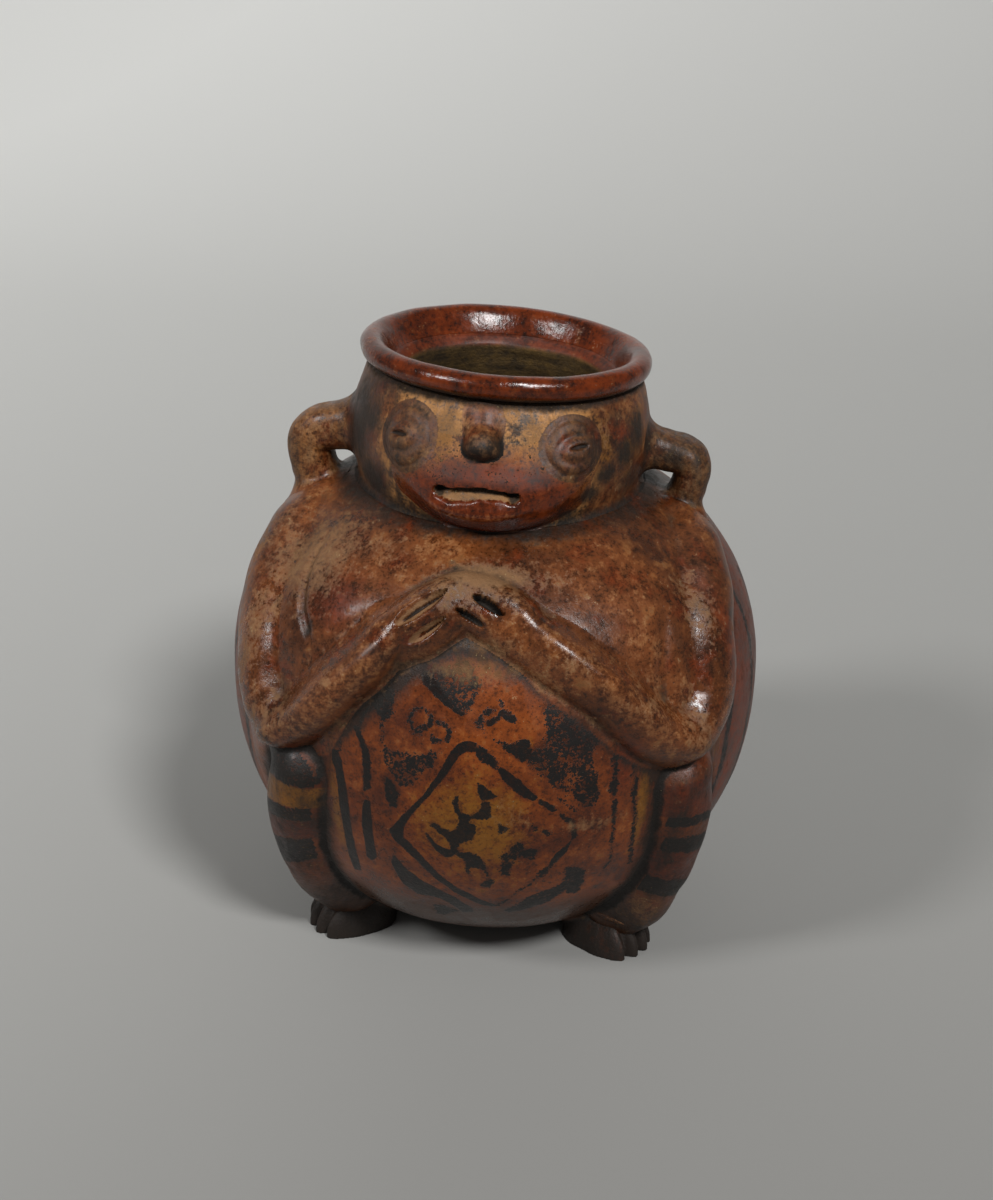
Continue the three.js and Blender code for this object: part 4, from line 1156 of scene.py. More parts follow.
# Black paint of the belly, round the bands that are left bare: how worn it is, then azimuths and heights.
# A stroke has its half width first.
PAINTED_PATCHES = [
    (0.05, [(-16.1, 56.1), (-13.5, 60.9), (-10.9, 65.1), (-8.3, 69.4), (-6.1, 74.8), (-4, 80.5),
        (-2.5, 83.5), (-1, 85.3), (0.6, 85.9), (1.8, 85.5), (1.4, 83.1), (-0.1, 82.9), (-1.1, 82),
        (-2.2, 79.7), (-3.6, 77), (-5.1, 73.8), (-6.7, 70.6), (-8.6, 67.2), (-10.5, 63.7), (-12, 60.7),
        (-13, 57.8), (-13.2, 54.3), (-14.8, 53.8)]),
    (0.12, [(-16.2, 55.7), (-13.2, 55), (-11.4, 51.7), (-9.4, 48.2), (-7.4, 44.9), (-5.2, 41),
        (-2.7, 38.1), (0.7, 35), (4, 31.9), (6.7, 30.2), (6.8, 28.8), (3.5, 29.5), (0.1, 32.5),
        (-3.5, 35.7), (-6.3, 39), (-8.3, 42.7), (-10.3, 45.7), (-12.3, 48.9), (-14.3, 52.2)]),
    (0.3, [(1.4, 85.5), (3.2, 84.3), (4.8, 82.5), (6.4, 80.3), (5.8, 78.3), (4.2, 79.7), (2.7, 80.7),
        (1.8, 82.8)]),
    (0.1, [(6.4, 79.5), (8.2, 78.4), (10.2, 76.1), (12.2, 73.1), (14.3, 70.3), (13.5, 69.2), (11.5, 70.5),
        (9.4, 73.2), (7.4, 75.8), (6.2, 78.1)]),
    (0.15, [(14.7, 69.7), (16.3, 68.3), (18.3, 65.6), (17.3, 65.2), (15.6, 66.9), (14.3, 68.8)]),
    (0.3, [(18.7, 65.3), (20.5, 63.4), (22.5, 61.8), (22.8, 60.1), (21, 61.1), (19.2, 63)]),
    (0.35, [(22, 59.9), (23.2, 59), (23.1, 56), (22.3, 55.5), (21.8, 57.6)]),
    (0.15, [(22.1, 54.8), (21.2, 51.1), (19.8, 48.1), (18, 46.5), (19.1, 50.8), (20.4, 52.7)]),
    (0.45, [(19, 47.1), (18, 44.1), (16.8, 42.3), (16, 43.6), (17.5, 46.6)]),
    (0.12, [(2.2, 74.7), (3.6, 73.7), (5.2, 72), (6.3, 70.9), (4.8, 69.9), (3.2, 69.5), (2.4, 71.5)]),
    (0.2, [(-1.9, 70.2), (-2.6, 68.6), (-2.3, 66.2), (-1.5, 63.8), (-1.3, 62), (-1.9, 59.9), (-2.9, 58.8),
        (-3.7, 59.3), (-5.1, 60.4), (-6.4, 61.6), (-7.2, 60.3), (-5.6, 59), (-4, 56.9), (-3, 55.1),
        (-2.8, 52.3), (-1.3, 52.1), (-1.5, 54.2), (-0.7, 55.7), (0.6, 56.6), (1.6, 57), (2.2, 59.4),
        (2, 61.7), (0.7, 62.2), (0.9, 63.5), (2.5, 63.5), (4.5, 63.6), (5.1, 65), (5, 68.7), (3.2, 69.8),
        (3.1, 67.1), (2.1, 65.5), (0.7, 64.4), (-0.7, 64.9), (-1.5, 66.6)]),
    (0.1, [(-8.5, 57.6), (-8, 55.8), (-6.8, 53.3), (-5.4, 51.1), (-4.4, 49.8), (-3.1, 50.1), (-2.2, 51.3),
        (-2.6, 52.7), (-4, 53.1), (-5.5, 53.9), (-6.7, 55.4), (-7.7, 57.2)]),
    (0.3, [(6.5, 62.2), (8, 61.6), (8.8, 60.6), (7.8, 59.7), (6.8, 59)]),
    (0.3, [(-1.9, 53.1), (-0.7, 52.2), (1, 52.4), (2.6, 51.5), (3.9, 49.1), (4.8, 45.7), (3.5, 46),
        (1.8, 47), (0.7, 46.1), (0.9, 43.3), (0, 43.6), (-0.1, 47.1), (-0.5, 49.7), (-1.6, 51)]),
    (0.3, [(3.9, 46.4), (4.8, 45.3), (5.5, 42.5), (4.8, 42.4)]),
    (0.25, [(4.6, 42.8), (6.2, 41.7), (6, 39.5), (5.4, 37.3), (4.7, 38.1), (3.5, 38.5), (2.9, 39.8),
        (4, 41.1)]),
    (0.55, [(7.6, 51.8), (9, 53.2), (9.8, 54.9), (11, 55.9), (12, 54.8), (12.3, 53), (15.1, 53.2),
        (14.8, 51), (13.8, 49.3), (12.1, 50.5), (10.2, 49.9), (9.7, 46.9), (9.6, 43.7), (7.6, 44.2),
        (7.5, 48.1)]),
    (0.4, [(15.1, 60.6), (16.5, 59.8), (17.9, 58.3), (16.9, 57.8), (15.5, 59.3)]),
    (0.55, [(13.2, 61.8), (14.6, 61.3), (14.3, 60.2), (13.4, 60.4)]),
    (0.1, [(-16.2, 47.5), (-15, 45.3), (-12.9, 41.3), (-10.4, 38.3), (-6.4, 34.9), (-3, 32.4),
        (0.9, 27.1), (1.1, 24.7), (-1.7, 24.2), (-4.6, 28.8), (-6.9, 30.9), (-9.8, 31.7), (-12.7, 31.4),
        (-13.9, 33.4), (-15.6, 35), (-16.4, 39.1), (-16.8, 44.2)]),
    (0.35, [(-9.1, 26.9), (-5.6, 26.9), (-3, 24.5), (-7.2, 21.1), (-9.9, 20.8)]),
    (0.35, [(9.2, 26.5), (11.8, 29.2), (14.5, 33.6), (16.7, 35.2), (19, 36.2), (21, 37.1), (22.2, 38.6),
        (24.3, 35.3), (22.8, 33.9), (21.6, 32.7), (19.4, 29.7), (16.6, 27.4), (13.4, 26.1),
        (10.9, 25.1)]),
    (0.3, [(21.9, 45.3), (24, 44.8), (26.7, 42.8), (27.7, 37), (27, 32.5), (24.5, 33.4), (22.2, 37.3),
        (22.5, 41.1)]),
    (0.05, [(-22.1, 61.4), (-21.5, 63.9), (-20.3, 63.7), (-20.2, 59.6), (-20.2, 54.6), (-20.2, 49.2),
        (-20.3, 44.3), (-22.1, 42.3), (-23.1, 43.8), (-22.5, 50), (-22.4, 55.4)]),
    (0.2, [(-23.8, 84.4), (-22.9, 85), (-21.9, 82.9), (-21.1, 80.9), (-20.5, 78.8), (-20.2, 75.8),
        (-20, 72.1), (-20, 67.6), (-21.8, 66.6), (-21.7, 69.9), (-21.7, 74.4), (-22, 78.6),
        (-22.8, 81.7)]),
    (0.08, [(-29.2, 75.8), (-27.7, 75.9), (-26.6, 73.4), (-26.1, 68.9), (-25.6, 62.8), (-25.5, 56.4),
        (-25.7, 49.3), (-26, 41.6), (-26.9, 35.7), (-29.1, 35.3), (-28.4, 43), (-27.8, 50.7),
        (-27.8, 58.6), (-27.9, 65.9), (-28.2, 70.9), (-29, 73.3)]),
    (0.55, [(-19.5, 94.9), (-17.3, 97.4), (-15.5, 96.1), (-15.3, 93.1), (-15.9, 90.7), (-16.4, 88.8),
        (-17.4, 87.4), (-18.3, 89), (-19.2, 90.6), (-20.7, 91.8)]),
    (0.15, [(-10.7, 101.6), (-9.3, 102.5), (-7.9, 101.8), (-6.9, 100.3), (-5.5, 99.3), (-5, 97.7),
        (-4.3, 96.1), (-2.6, 94.6), (-0.5, 93.3), (-1, 92.2), (-2.7, 93.1), (-4.6, 94.3), (-6.3, 95.8),
        (-8.1, 97.5), (-10, 99.1)]),
    (0.5, [(-4.9, 96.2), (-3.8, 97.8), (-2.3, 97), (-0.6, 96.9), (0.9, 98), (1.9, 99.2), (1.2, 96.3),
        (0.1, 94.1), (-0.7, 92.8), (-2.3, 93.1), (-3.8, 94.4)]),
    (0.86, [(-9.9, 102.2), (-7.5, 103.7), (-4.4, 103.6), (-2, 105.6), (1, 104.7), (2, 101.1), (1.7, 98.8),
        (-0.1, 93.3), (-4.3, 95.8)]),
    (0.72, [(-17.5, 80.9), (-16, 80.8), (-13, 80.4), (-10.9, 79.8), (-8.9, 80.3), (-7.3, 81.9),
        (-5.7, 82.2), (-6.4, 79), (-8.4, 76.4), (-9.8, 73.8), (-10.8, 71.2), (-12.7, 70.7), (-14.2, 72.1),
        (-14.6, 74.3), (-16.4, 76.1), (-17.3, 78.2)]),
    (0.25, [(-15.1, 77.9), (-13.4, 79.2), (-11.3, 78.3), (-9.2, 78.5), (-8, 78.2), (-9.6, 75.3),
        (-10.6, 72.4), (-12.5, 71.7), (-13.8, 73.7), (-15.9, 76.8)]),
    (0.35, [(-16.8, 72.5), (-15.3, 72.1), (-14, 70.4), (-13.5, 68.1), (-14.1, 64.2), (-15.6, 64.1),
        (-16.4, 66.3), (-16.6, 69.3)]),
    (0.3, [(2.7, 93), (3.9, 94.4), (5.7, 94.7), (5.1, 93.5), (3.5, 92.6)]),
    (0.25, [(6.1, 93.9), (7.5, 94.4), (8.7, 93.2), (9.9, 91.4), (8.5, 90.9), (7.1, 91.9), (5.9, 92.9)]),
    (0.15, [(3.4, 91.3), (4.8, 92.1), (6.1, 92.8), (6, 91.6), (4.6, 90.5), (3.4, 90.3)]),
    (0.55, [(1.2, 91.4), (2.4, 92.5), (3.2, 91), (2.8, 89.2), (1.6, 89.7)]),
    (0.35, [(5.9, 96.4), (6.7, 96.1), (7.3, 94.9), (6.5, 95.1)]),
    (0.3, [(5.1, 86.9), (6.5, 86.3), (8, 85.7), (9.2, 86.3), (10.8, 86.8), (12.2, 86.5), (12.6, 84.9),
        (13.4, 83.2), (13, 81.6), (11.8, 80.8), (10.5, 80.9), (9.1, 82.5), (7.5, 83.9), (6.1, 85.5)]),
    (0.74, [(14.6, 95), (16.9, 95.8), (18.9, 93.4), (21.1, 90.6), (23.8, 88.7), (26.5, 86.1),
        (27.4, 85.1), (26.1, 83.2), (24.4, 81.9), (25.3, 79.5), (26.2, 75.9), (26.6, 72), (27.2, 68.8),
        (26.6, 67.1), (25.6, 65.5), (24.3, 65.8), (22.5, 68), (20.5, 70.5), (18.4, 72.6), (16.3, 75.1),
        (14.3, 77.6), (12.3, 79.4), (11.6, 81.9), (13.4, 84.3), (15.4, 85.7), (16.3, 88.3), (16, 91.4)]),
    (0.3, [(18.5, 76), (19.9, 78.1), (21.5, 79.3), (23.6, 80.1), (25.1, 78.4), (26.2, 75), (26.9, 70.4),
        (26.6, 67.8), (25.6, 65.8), (24.3, 66.1), (22.5, 68.3), (20.3, 70.8), (17.8, 73.2)]),
    (0.45, [(15.1, 78.1), (16.8, 80.2), (18.5, 78.3), (18.7, 76), (17.7, 75), (16.1, 75.7)]),
    (0.5, [(21.7, 83.4), (23.7, 83.9), (26.3, 84.8), (25.4, 82.8), (23.8, 81.7), (22.1, 82.3)]),
    (0.3, [(29.6, 72.1), (31, 71.4), (31.4, 67.7), (30.5, 65.8), (29.7, 68.8)]),
    (0.3, [(29.1, 81.7), (31.1, 82.3), (32.5, 80.3), (31.7, 78), (30.1, 78.7)]),
    (0.5, [(35.3, 63), (36.2, 62.3), (37, 56.7), (36.1, 56.7)]),
]
PAINTED_STROKES = [
    (0.28, 0.5, [(-20.6, 90.5), (-21.8, 89.1), (-22.4, 86.5), (-22.1, 83.3)]),
    (0.23, 0.55, [(-20.6, 90.5), (-19, 90.2), (-17.9, 88.1), (-17.4, 84.8), (-17.6, 81.4)]),
    (0.23, 0.55, [(-25.1, 85.6), (-26.5, 83.8), (-27, 80.7), (-27.2, 76.7)]),
    (0.48, 0.4, [(-11.7, 91.9), (-10.5, 92.8), (-9, 92.9), (-7.9, 92.1)]),
    (0.59, 0.3, [(-7.9, 91.8), (-7.4, 90.6), (-7.7, 89.1), (-8.5, 88.1), (-9.4, 88.5)]),
    (0.42, 0.45, [(-9.4, 88), (-10.8, 87.4), (-11.8, 88.5), (-12, 90.3), (-11.5, 91.9)]),
    (0.56, 0.4, [(-6, 90.1), (-5, 90), (-3.5, 89.2)]),
    (0.62, 0.3, [(-3.5, 88.4), (-3.4, 86.8), (-4.2, 85.7)]),
    (0.51, 0.45, [(-5.4, 85), (-6.6, 85), (-7.2, 86.3)]),
    (0.37, 0.6, [(-11.4, 86.3), (-9.9, 86.2)]),
    (0.21, 0.5, [(16.5, 43.6), (14.4, 39.6), (12.3, 36.7), (10.2, 33.5), (8, 30.5), (6.8, 29.4)]),
    (0.6, 0.45, [(30.3, 78.3), (30.7, 71.5)]),
    (0.6, 0.4, [(30.9, 66.3), (31.1, 61.5), (31.4, 56.4), (31.6, 52.2)]),
    (0.65, 0.5, [(34.5, 76.6), (35.3, 69.5), (35.5, 64.8), (35.7, 62.2)]),
    (0.6, 0.5, [(36.2, 56.7), (37, 51.5), (38.9, 41.6)]),
    (0.31, 0.7, [(18.8, 69), (22.1, 64.7)]),
    (0.28, 0.25, [(31.8, 51), (32.7, 45.1), (31.5, 42.4)]),
    (0.48, 0.35, [(-32.7, 73.7), (-32.2, 70.1), (-32.2, 65.5)]),
]

PROFILE_Z = np.linspace(0, SHOULDER_HEIGHT, 800)
PROFILE_RUN = np.concatenate([[0], np.cumsum(np.hypot(
    np.diff(body_radius(0 * PROFILE_Z, PROFILE_Z)), np.diff(PROFILE_Z)
))])


def unrolled(azimuth, z):
    """Millimetres round the wall from the front, and up along it."""
    return np.stack([
        np.asarray(azimuth) * DEG * body_radius(0.0, np.asarray(z)), np.interp(z, PROFILE_Z, PROFILE_RUN),
    ], axis=-1)


def line_distance(spots, line):
    """Distance of spots from a line in the unrolled plane."""
    best = np.full(len(spots), np.inf)
    for a, b in zip(line[:-1], line[1:]):
        run = b - a
        t = np.clip((spots - a) @ run / max(run @ run, 1e-9), 0, 1)
        gap = spots - a - t[:, None] * run
        best = np.minimum(best, (gap * gap).sum(axis=1))
    return np.sqrt(best)


def within(spots, outline):
    """Whether spots lie inside an outline in the unrolled plane."""
    inside = np.zeros(len(spots), dtype=bool)
    for a, b in zip(outline, np.roll(outline, -1, axis=0)):
        crosses = (a[1] > spots[:, 1]) != (b[1] > spots[:, 1])
        rise = np.where(crosses, b[1] - a[1], 1)
        inside ^= crosses & (spots[:, 0] < a[0] + (spots[:, 1] - a[1]) * (b[0] - a[0]) / rise)
    return inside


# Black upright stripes round the sides and back: how many to a full turn, from which azimuth on, their lowest
# and highest height, half width, the radius that widths are reckoned at, and how worn they are
STRIPES, STRIPES_FROM, STRIPE_LOW, STRIPE_HIGH = 26, 58, 34, 106
STRIPE_HALF_WIDTH, STRIPE_RADIUS, STRIPE_WEAR = 1.3, 74, 0.45


def belly_paint(azimuth, z):
    """How far inside the black paint each point is, and how worn the paint is there."""
    paint = np.full(azimuth.shape, NO_PAINT)
    worn = np.zeros(azimuth.shape)
    near = (np.abs(azimuth) < 56) & (z < 108) & (z > 14)
    spots = unrolled(azimuth[near], z[near])
    flat = np.column_stack([spots, 0 * spots[:, 0]])
    spots = spots + 0.35 * np.stack([clay_noise(flat, 6, shift) for shift in (1.1, 5.1)], axis=-1)
    best = paint[near]
    wear = worn[near]
    for wear_here, outline in PAINTED_PATCHES:
        outline = unrolled(*np.array(outline).T)
        edge = line_distance(spots, np.vstack([outline, outline[:1]]))
        level = np.where(within(spots, outline), edge, -edge)
        wear = np.where(level > best, wear_here, wear)
        best = np.maximum(best, level)
    for half_width, wear_here, line in PAINTED_STROKES:
        level = half_width - line_distance(spots, unrolled(*np.array(line).T))
        wear = np.where(level > best, wear_here, wear)
        best = np.maximum(best, level)
    paint[near], worn[near] = best, wear
    side = np.abs(azimuth) > STRIPES_FROM
    spacing = 360 / STRIPES
    off = np.abs((azimuth + 3 * np.sin(z * 0.05)) % spacing - 0.5 * spacing) * DEG * STRIPE_RADIUS
    half_width = STRIPE_HALF_WIDTH + 0.35 * np.sin(azimuth * 0.7) + 0.25 * np.sin(z * 0.3 + azimuth)
    ends = np.minimum(z - STRIPE_LOW, STRIPE_HIGH - z) * 0.5
    paint = np.where(side, np.minimum(half_width - off, ends), paint)
    return paint, np.where(side, STRIPE_WEAR, worn)


def clouds(azimuth, height, spots):
    """Soft spots of colour: azimuth, height, half width in degrees, half height and strength of each."""
    total = np.zeros(np.shape(azimuth))
    for a, h, wide, tall, strength in spots:
        away = ((azimuth - a) / wide) ** 2 + ((height - h) / tall) ** 2
        total = np.maximum(total, strength * np.exp(-away))
    return total


def relief(height, cells):
    """How far a height stands above its surroundings in a grid, up to a number of cells away."""
    blurred = height
    for axis in (0, 1):
        for _ in range(2):
            padded = np.pad(blurred, [(cells, cells) if k == axis else (0, 0) for k in (0, 1)], mode="edge")
            run = np.cumsum(padded, axis=axis)
            run = np.concatenate([np.zeros_like(np.take(run, [0], axis=axis)), run], axis=axis)
            n = height.shape[axis]
            blurred = (
                np.take(run, np.arange(2 * cells + 1, 2 * cells + 1 + n), axis=axis)
                - np.take(run, np.arange(n), axis=axis)
            ) / (2 * cells + 1)
    return height - blurred


map_relief = relief(map_height, max(2, int(round(3 / FINE))))
# Fine relief places the dark line of painted shade in creases, and broad relief places painted shade in the
# hollows
map_crease = relief(map_height, 1)
map_bowl = relief(map_height, max(4, int(round(9 / FINE))))

# Lower edge of the brown chest and arms, round the body
BROWN_EDGE = [
    (-180, 112), (-95, 115), (-85, 116), (-76, 108), (-68, 98), (-62, 88), (-56, 76), (-48, 70),
    (-40, 68), (-30, 74), (-24, 88), (-21, 94), (-17, 101), (-12, 105), (-7, 109), (-4, 111), (4, 109),
    (9, 106), (14, 98.5), (22, 91), (30, 80.7), (37, 74), (44, 70), (50, 74), (56, 84), (62, 96),
    (68, 105), (74, 110), (80, 115), (95, 115), (180, 112),
]
# Spots of colour: azimuth, height, half width in degrees, half height and strength of each
DUST_SPOTS = [
    (0, 104, 13, 4.5, 0.85), (-2, 119, 17, 6, 0.75), (18, 121, 12, 6, 0.5), (-34, 117, 10, 9, 0.35),
    (-44, 80, 7, 8, 0.6), (40, 80, 6, 5, 0.3), (25, 60, 9, 3, 0.75), (-55, 100, 4, 24, 0.6),
    (-67, 96, 5, 26, 0.5), (62, 90, 3, 22, 0.45), (46, 84, 5, 14, 0.6), (34, 99, 8, 5, 0.35),
    (-28, 96, 4, 8, 0.5), (10, 64, 8, 8, 0.4), (48, 24, 6, 10, 0.6), (-38, 50, 5, 20, 0.35),
    (3, 108, 8, 3, 0.8), (-50, 118, 16, 12, 1.0), (-30, 124, 14, 5, 0.5), (-64, 80, 6, 14, 0.8),
    (58, 72, 4, 8, 0.6), (2, 121.5, 13, 3.2, 1.5), (20, 104, 14, 6, 0.4), (36, 92, 12, 5, 0.45),
    (-40, 84, 10, 7, 0.5), (-52, 96, 4, 20, 0.7), (56, 110, 6, 12, 0.6), (-70, 110, 8, 18, 0.6),
]
SOOT_SPOTS = [
    (-38.5, 104.5, 1.6, 3.4, 1.0), (-41, 110, 1.3, 3, 0.7), (-35, 52, 3.6, 22, 1.0), (45, 52, 3.6, 24, 1.1),
    (30, 25, 12, 9, 0.5), (-22, 90, 5, 5, 0.6), (27, 88, 9, 4, 0.55), (-30, 76, 6, 3, 0.6),
    (38, 72, 8, 3, 0.7), (46, 108, 3, 7, 0.5), (10, 101, 6, 4, 0.4), (48, 76, 9, 7, 0.85),
    (80, 90, 14, 40, 0.62), (-46, 52, 12, 26, 0.5), (48, 46, 10, 26, 0.6), (52, 20, 12, 10, 0.7),
    (-50, 20, 12, 10, 0.6), (-47, 110, 2.4, 12, 0.55), (47, 104, 2.4, 9, 0.6), (-36, 92, 6, 5, 0.45),
]
OCHRE_SPOTS = [
    (2, 60, 14, 20, 0.95), (-28.8, 58, 2.2, 20, 0.9), (37.6, 64, 1.9, 17, 1.2), (-8, 42, 9, 7, 0.5),
    (12, 84, 5, 4, 0.6), (16, 76, 5, 5, 0.5),
]
RED_SPOTS = [
    (32, 76, 4, 12, 0.9), (26, 62, 5, 9, 0.5), (-24.5, 60, 3, 20, 0.45), (-33, 112, 8, 8, 0.8),
    (60, 95, 4, 30, 0.7), (30, 86, 6, 5, 0.5),
]
# Bands round the legs: lowest and highest level and colour of each
LEG_BANDS = {
    "left": [
        (36, 44.5, "black"), (44.5, 52, "red"), (52, 56.5, "black"), (56.5, 64, "ochre"), (64, 73, "black"),
    ],
    "right": [(30, 36, "black"), (36, 46, "red"), (46, 51, "black"), (58, 68, "red"), (55, 58, "black")],
}


def body_values(azimuth, z, inside, brown=None):
    """What the materials read on the body: its paint and slips, its dirt, painted shade in its hollows and
    creases, and how its surface lies.
    """
    edge = np.interp(azimuth, *np.array(BROWN_EDGE, dtype=float).T)
    paint, worn = belly_paint(azimuth, z)
    brown = smoothstep(-0.6, 0.6, z - edge) if brown is None else brown
    outside = 1 - inside
    side = smoothstep(56, 66, np.abs(azimuth))
    rough, crease, bowl = (on_map(values, azimuth, z) for values in (map_relief, map_crease, map_bowl))
    # Painted shade, darker in the broad hollows, and more on the belly than on the brown chest
    deep = np.clip((-bowl - 0.3) / 2.0, 0, 1) * outside * (1.35 - 0.85 * brown)
    # Partly a sooty smear and partly painted shade, in the corner where the neck sits on the shoulder
    foot_of_neck = smoothstep(125.5, 130.5, z) * outside
    return {
        "paint": np.where(brown > 0.5, NO_PAINT, paint) + NO_PAINT * inside, "worn": worn, "brown": brown,
        "hollow": np.clip((-rough - 0.15) / 1.1, 0, 1) * outside * (0.15 + 0.85 * smoothstep(72, 88, z)),
        "proud": np.clip(rough / 0.6, 0, 1) * outside,
        # Painted shade as a dark line in the creases, stronger on the belly below the forearms
        "crease": np.clip((-crease - 0.04) / 0.2, 0, 1) * outside * (1 - 0.45 * brown),
        "tan": 0 * brown, "dust": clouds(azimuth, z, DUST_SPOTS),
        "soot": np.maximum(np.maximum(clouds(azimuth, z, SOOT_SPOTS), deep), 0.95 * foot_of_neck),
        "ochre": clouds(azimuth, z, OCHRE_SPOTS) * (1 - brown),
        "red": np.maximum(clouds(azimuth, z, RED_SPOTS), side * (1 - brown)),
        # Darker towards the bottom of the belly
        "dull": (1 - smoothstep(20, 38, z)) * (1 - brown), "bare": inside,
    }


def limb_values(azimuth, z, height, name, cut):
    """The same on a limb or hand, with bands round the legs, and dust and painted shade in the cuts of the
    hands.
    """
    shape = azimuth.shape
    azimuth, z, height = azimuth.ravel(), z.ravel(), height.ravel()
    arm = not name.endswith("leg")
    values = body_values(azimuth, z, 0 * azimuth, np.full(azimuth.size, float(arm)))
    if not arm:
        on_leg = np.clip((height - 2.0) / 2.0, 0, 1)
        level = z + 0.9 * np.sin(azimuth * 0.35) + 1.2 * ((azimuth / 42) ** 2 - 1)
        paint = np.full(level.size, NO_PAINT)
        for low, high, colour in LEG_BANDS["left" if azimuth[0] < 0 else "right"]:
            depth = np.minimum(level - low, high - level)
            if colour == "black":
                paint = np.maximum(paint, depth)
            else:
                values[colour] = np.maximum(values[colour], smoothstep(-0.5, 0.5, depth))
        values["paint"] = np.where(on_leg > 0.1, paint, values["paint"])
        values["worn"] = np.maximum(values["worn"], 0.3)
        values["soot"] = np.maximum(values["soot"], 0.72 + 0.1 * np.sin(z * 0.4))
        values["proud"] = 0.3 * values["proud"]
    # In the cuts between the fingers: dust along the left hand's slits, and painted shade in their cores and
    # in the deeper slits of the right hand
    if cut is not None:
        cut = cut.ravel()
        deep = smoothstep(0.3, 1.3, cut)
        pale = (1 - smoothstep(-3.6, -2.4, azimuth)) * (1 - 0.75 * smoothstep(1.5, 2.1, cut))
        values["crease"] = np.maximum(values["crease"] * (1 - deep), 1.1 * deep * (1 - pale))
        values["dust"] = np.maximum(values["dust"], 1.1 * deep * pale)
        values["soot"] = np.maximum(values["soot"], 1.2 * deep * (1 - pale))
        values["hollow"] = values["hollow"] * (1 - deep)
    return {key: value.reshape(shape) for key, value in values.items()}


# The same on the head: azimuth, level over the seam, half width in degrees, half height and strength
HEAD_DUST = [
    (-16, 22, 7, 7, 1.0), (-24, 28, 7, 3, 0.6), (16, 24, 5, 6, 0.75), (8, 28, 10, 2, 0.5),
    (-14, 17, 3, 3, 0.5), (47, 22, 8, 7, 0.5), (-62, 8, 10, 8, 0.25), (58, 8, 12, 6, 0.4),
    (28, 27, 8, 3, 0.45),
]
# Sooty and dark patches on the sides of the neck; the spots just under the rim are painted shade, and those
# low under the chin are partly painted shade
HEAD_SOOT = [
    (-66, 18, 21, 15, 1.25), (-52, 21, 8, 9, 1.1), (54, 25, 7, 5, 0.85), (-50, 6, 15, 8, 1.2),
    (-44, 28, 10, 3, 0.8), (-32, 1, 14, 4, 1.1), (-90, 10, 20, 12, 0.6), (38, 7, 8, 3.2, 1.15),
    (47, 12, 8, 4, 1.1), (57, 16, 9, 7, 1.15), (30, 3, 9, 2.6, 1.1), (66, 20, 11, 9, 1.1),
    (66, 7, 18, 6, 1.0), (30, 0, 16, 3, 1.1), (0, -2, 26, 3, 1.0), (20, 30.5, 18, 1.6, 0.8),
    (-12, 30.5, 12, 1.5, 0.8), (84, 14, 14, 12, 0.7), (-14, 12, 4, 3, 0.4), (24, 26, 6, 4, 0.6),
    (15, 15, 5, 3, 0.5),
]
HEAD_ORANGE = [
    (-16.5, 22, 6, 8, 1.0), (44, 20, 9, 9, 0.8), (60, 16, 10, 10, 0.7), (17, 22, 5, 6, 0.5),
    (70, 24, 10, 8, 0.5),
]
HEAD_RED = [(0, 7, 36, 12.5, 1.4)]


# What the dirt and slips of the neck are multiplied by on other parts
PART_SHARES = {"eye": {"dust": 0.5, "ochre": 0.2, "tan": 0.3}, "nose": {"dust": 0.3, "tan": 0.3}}


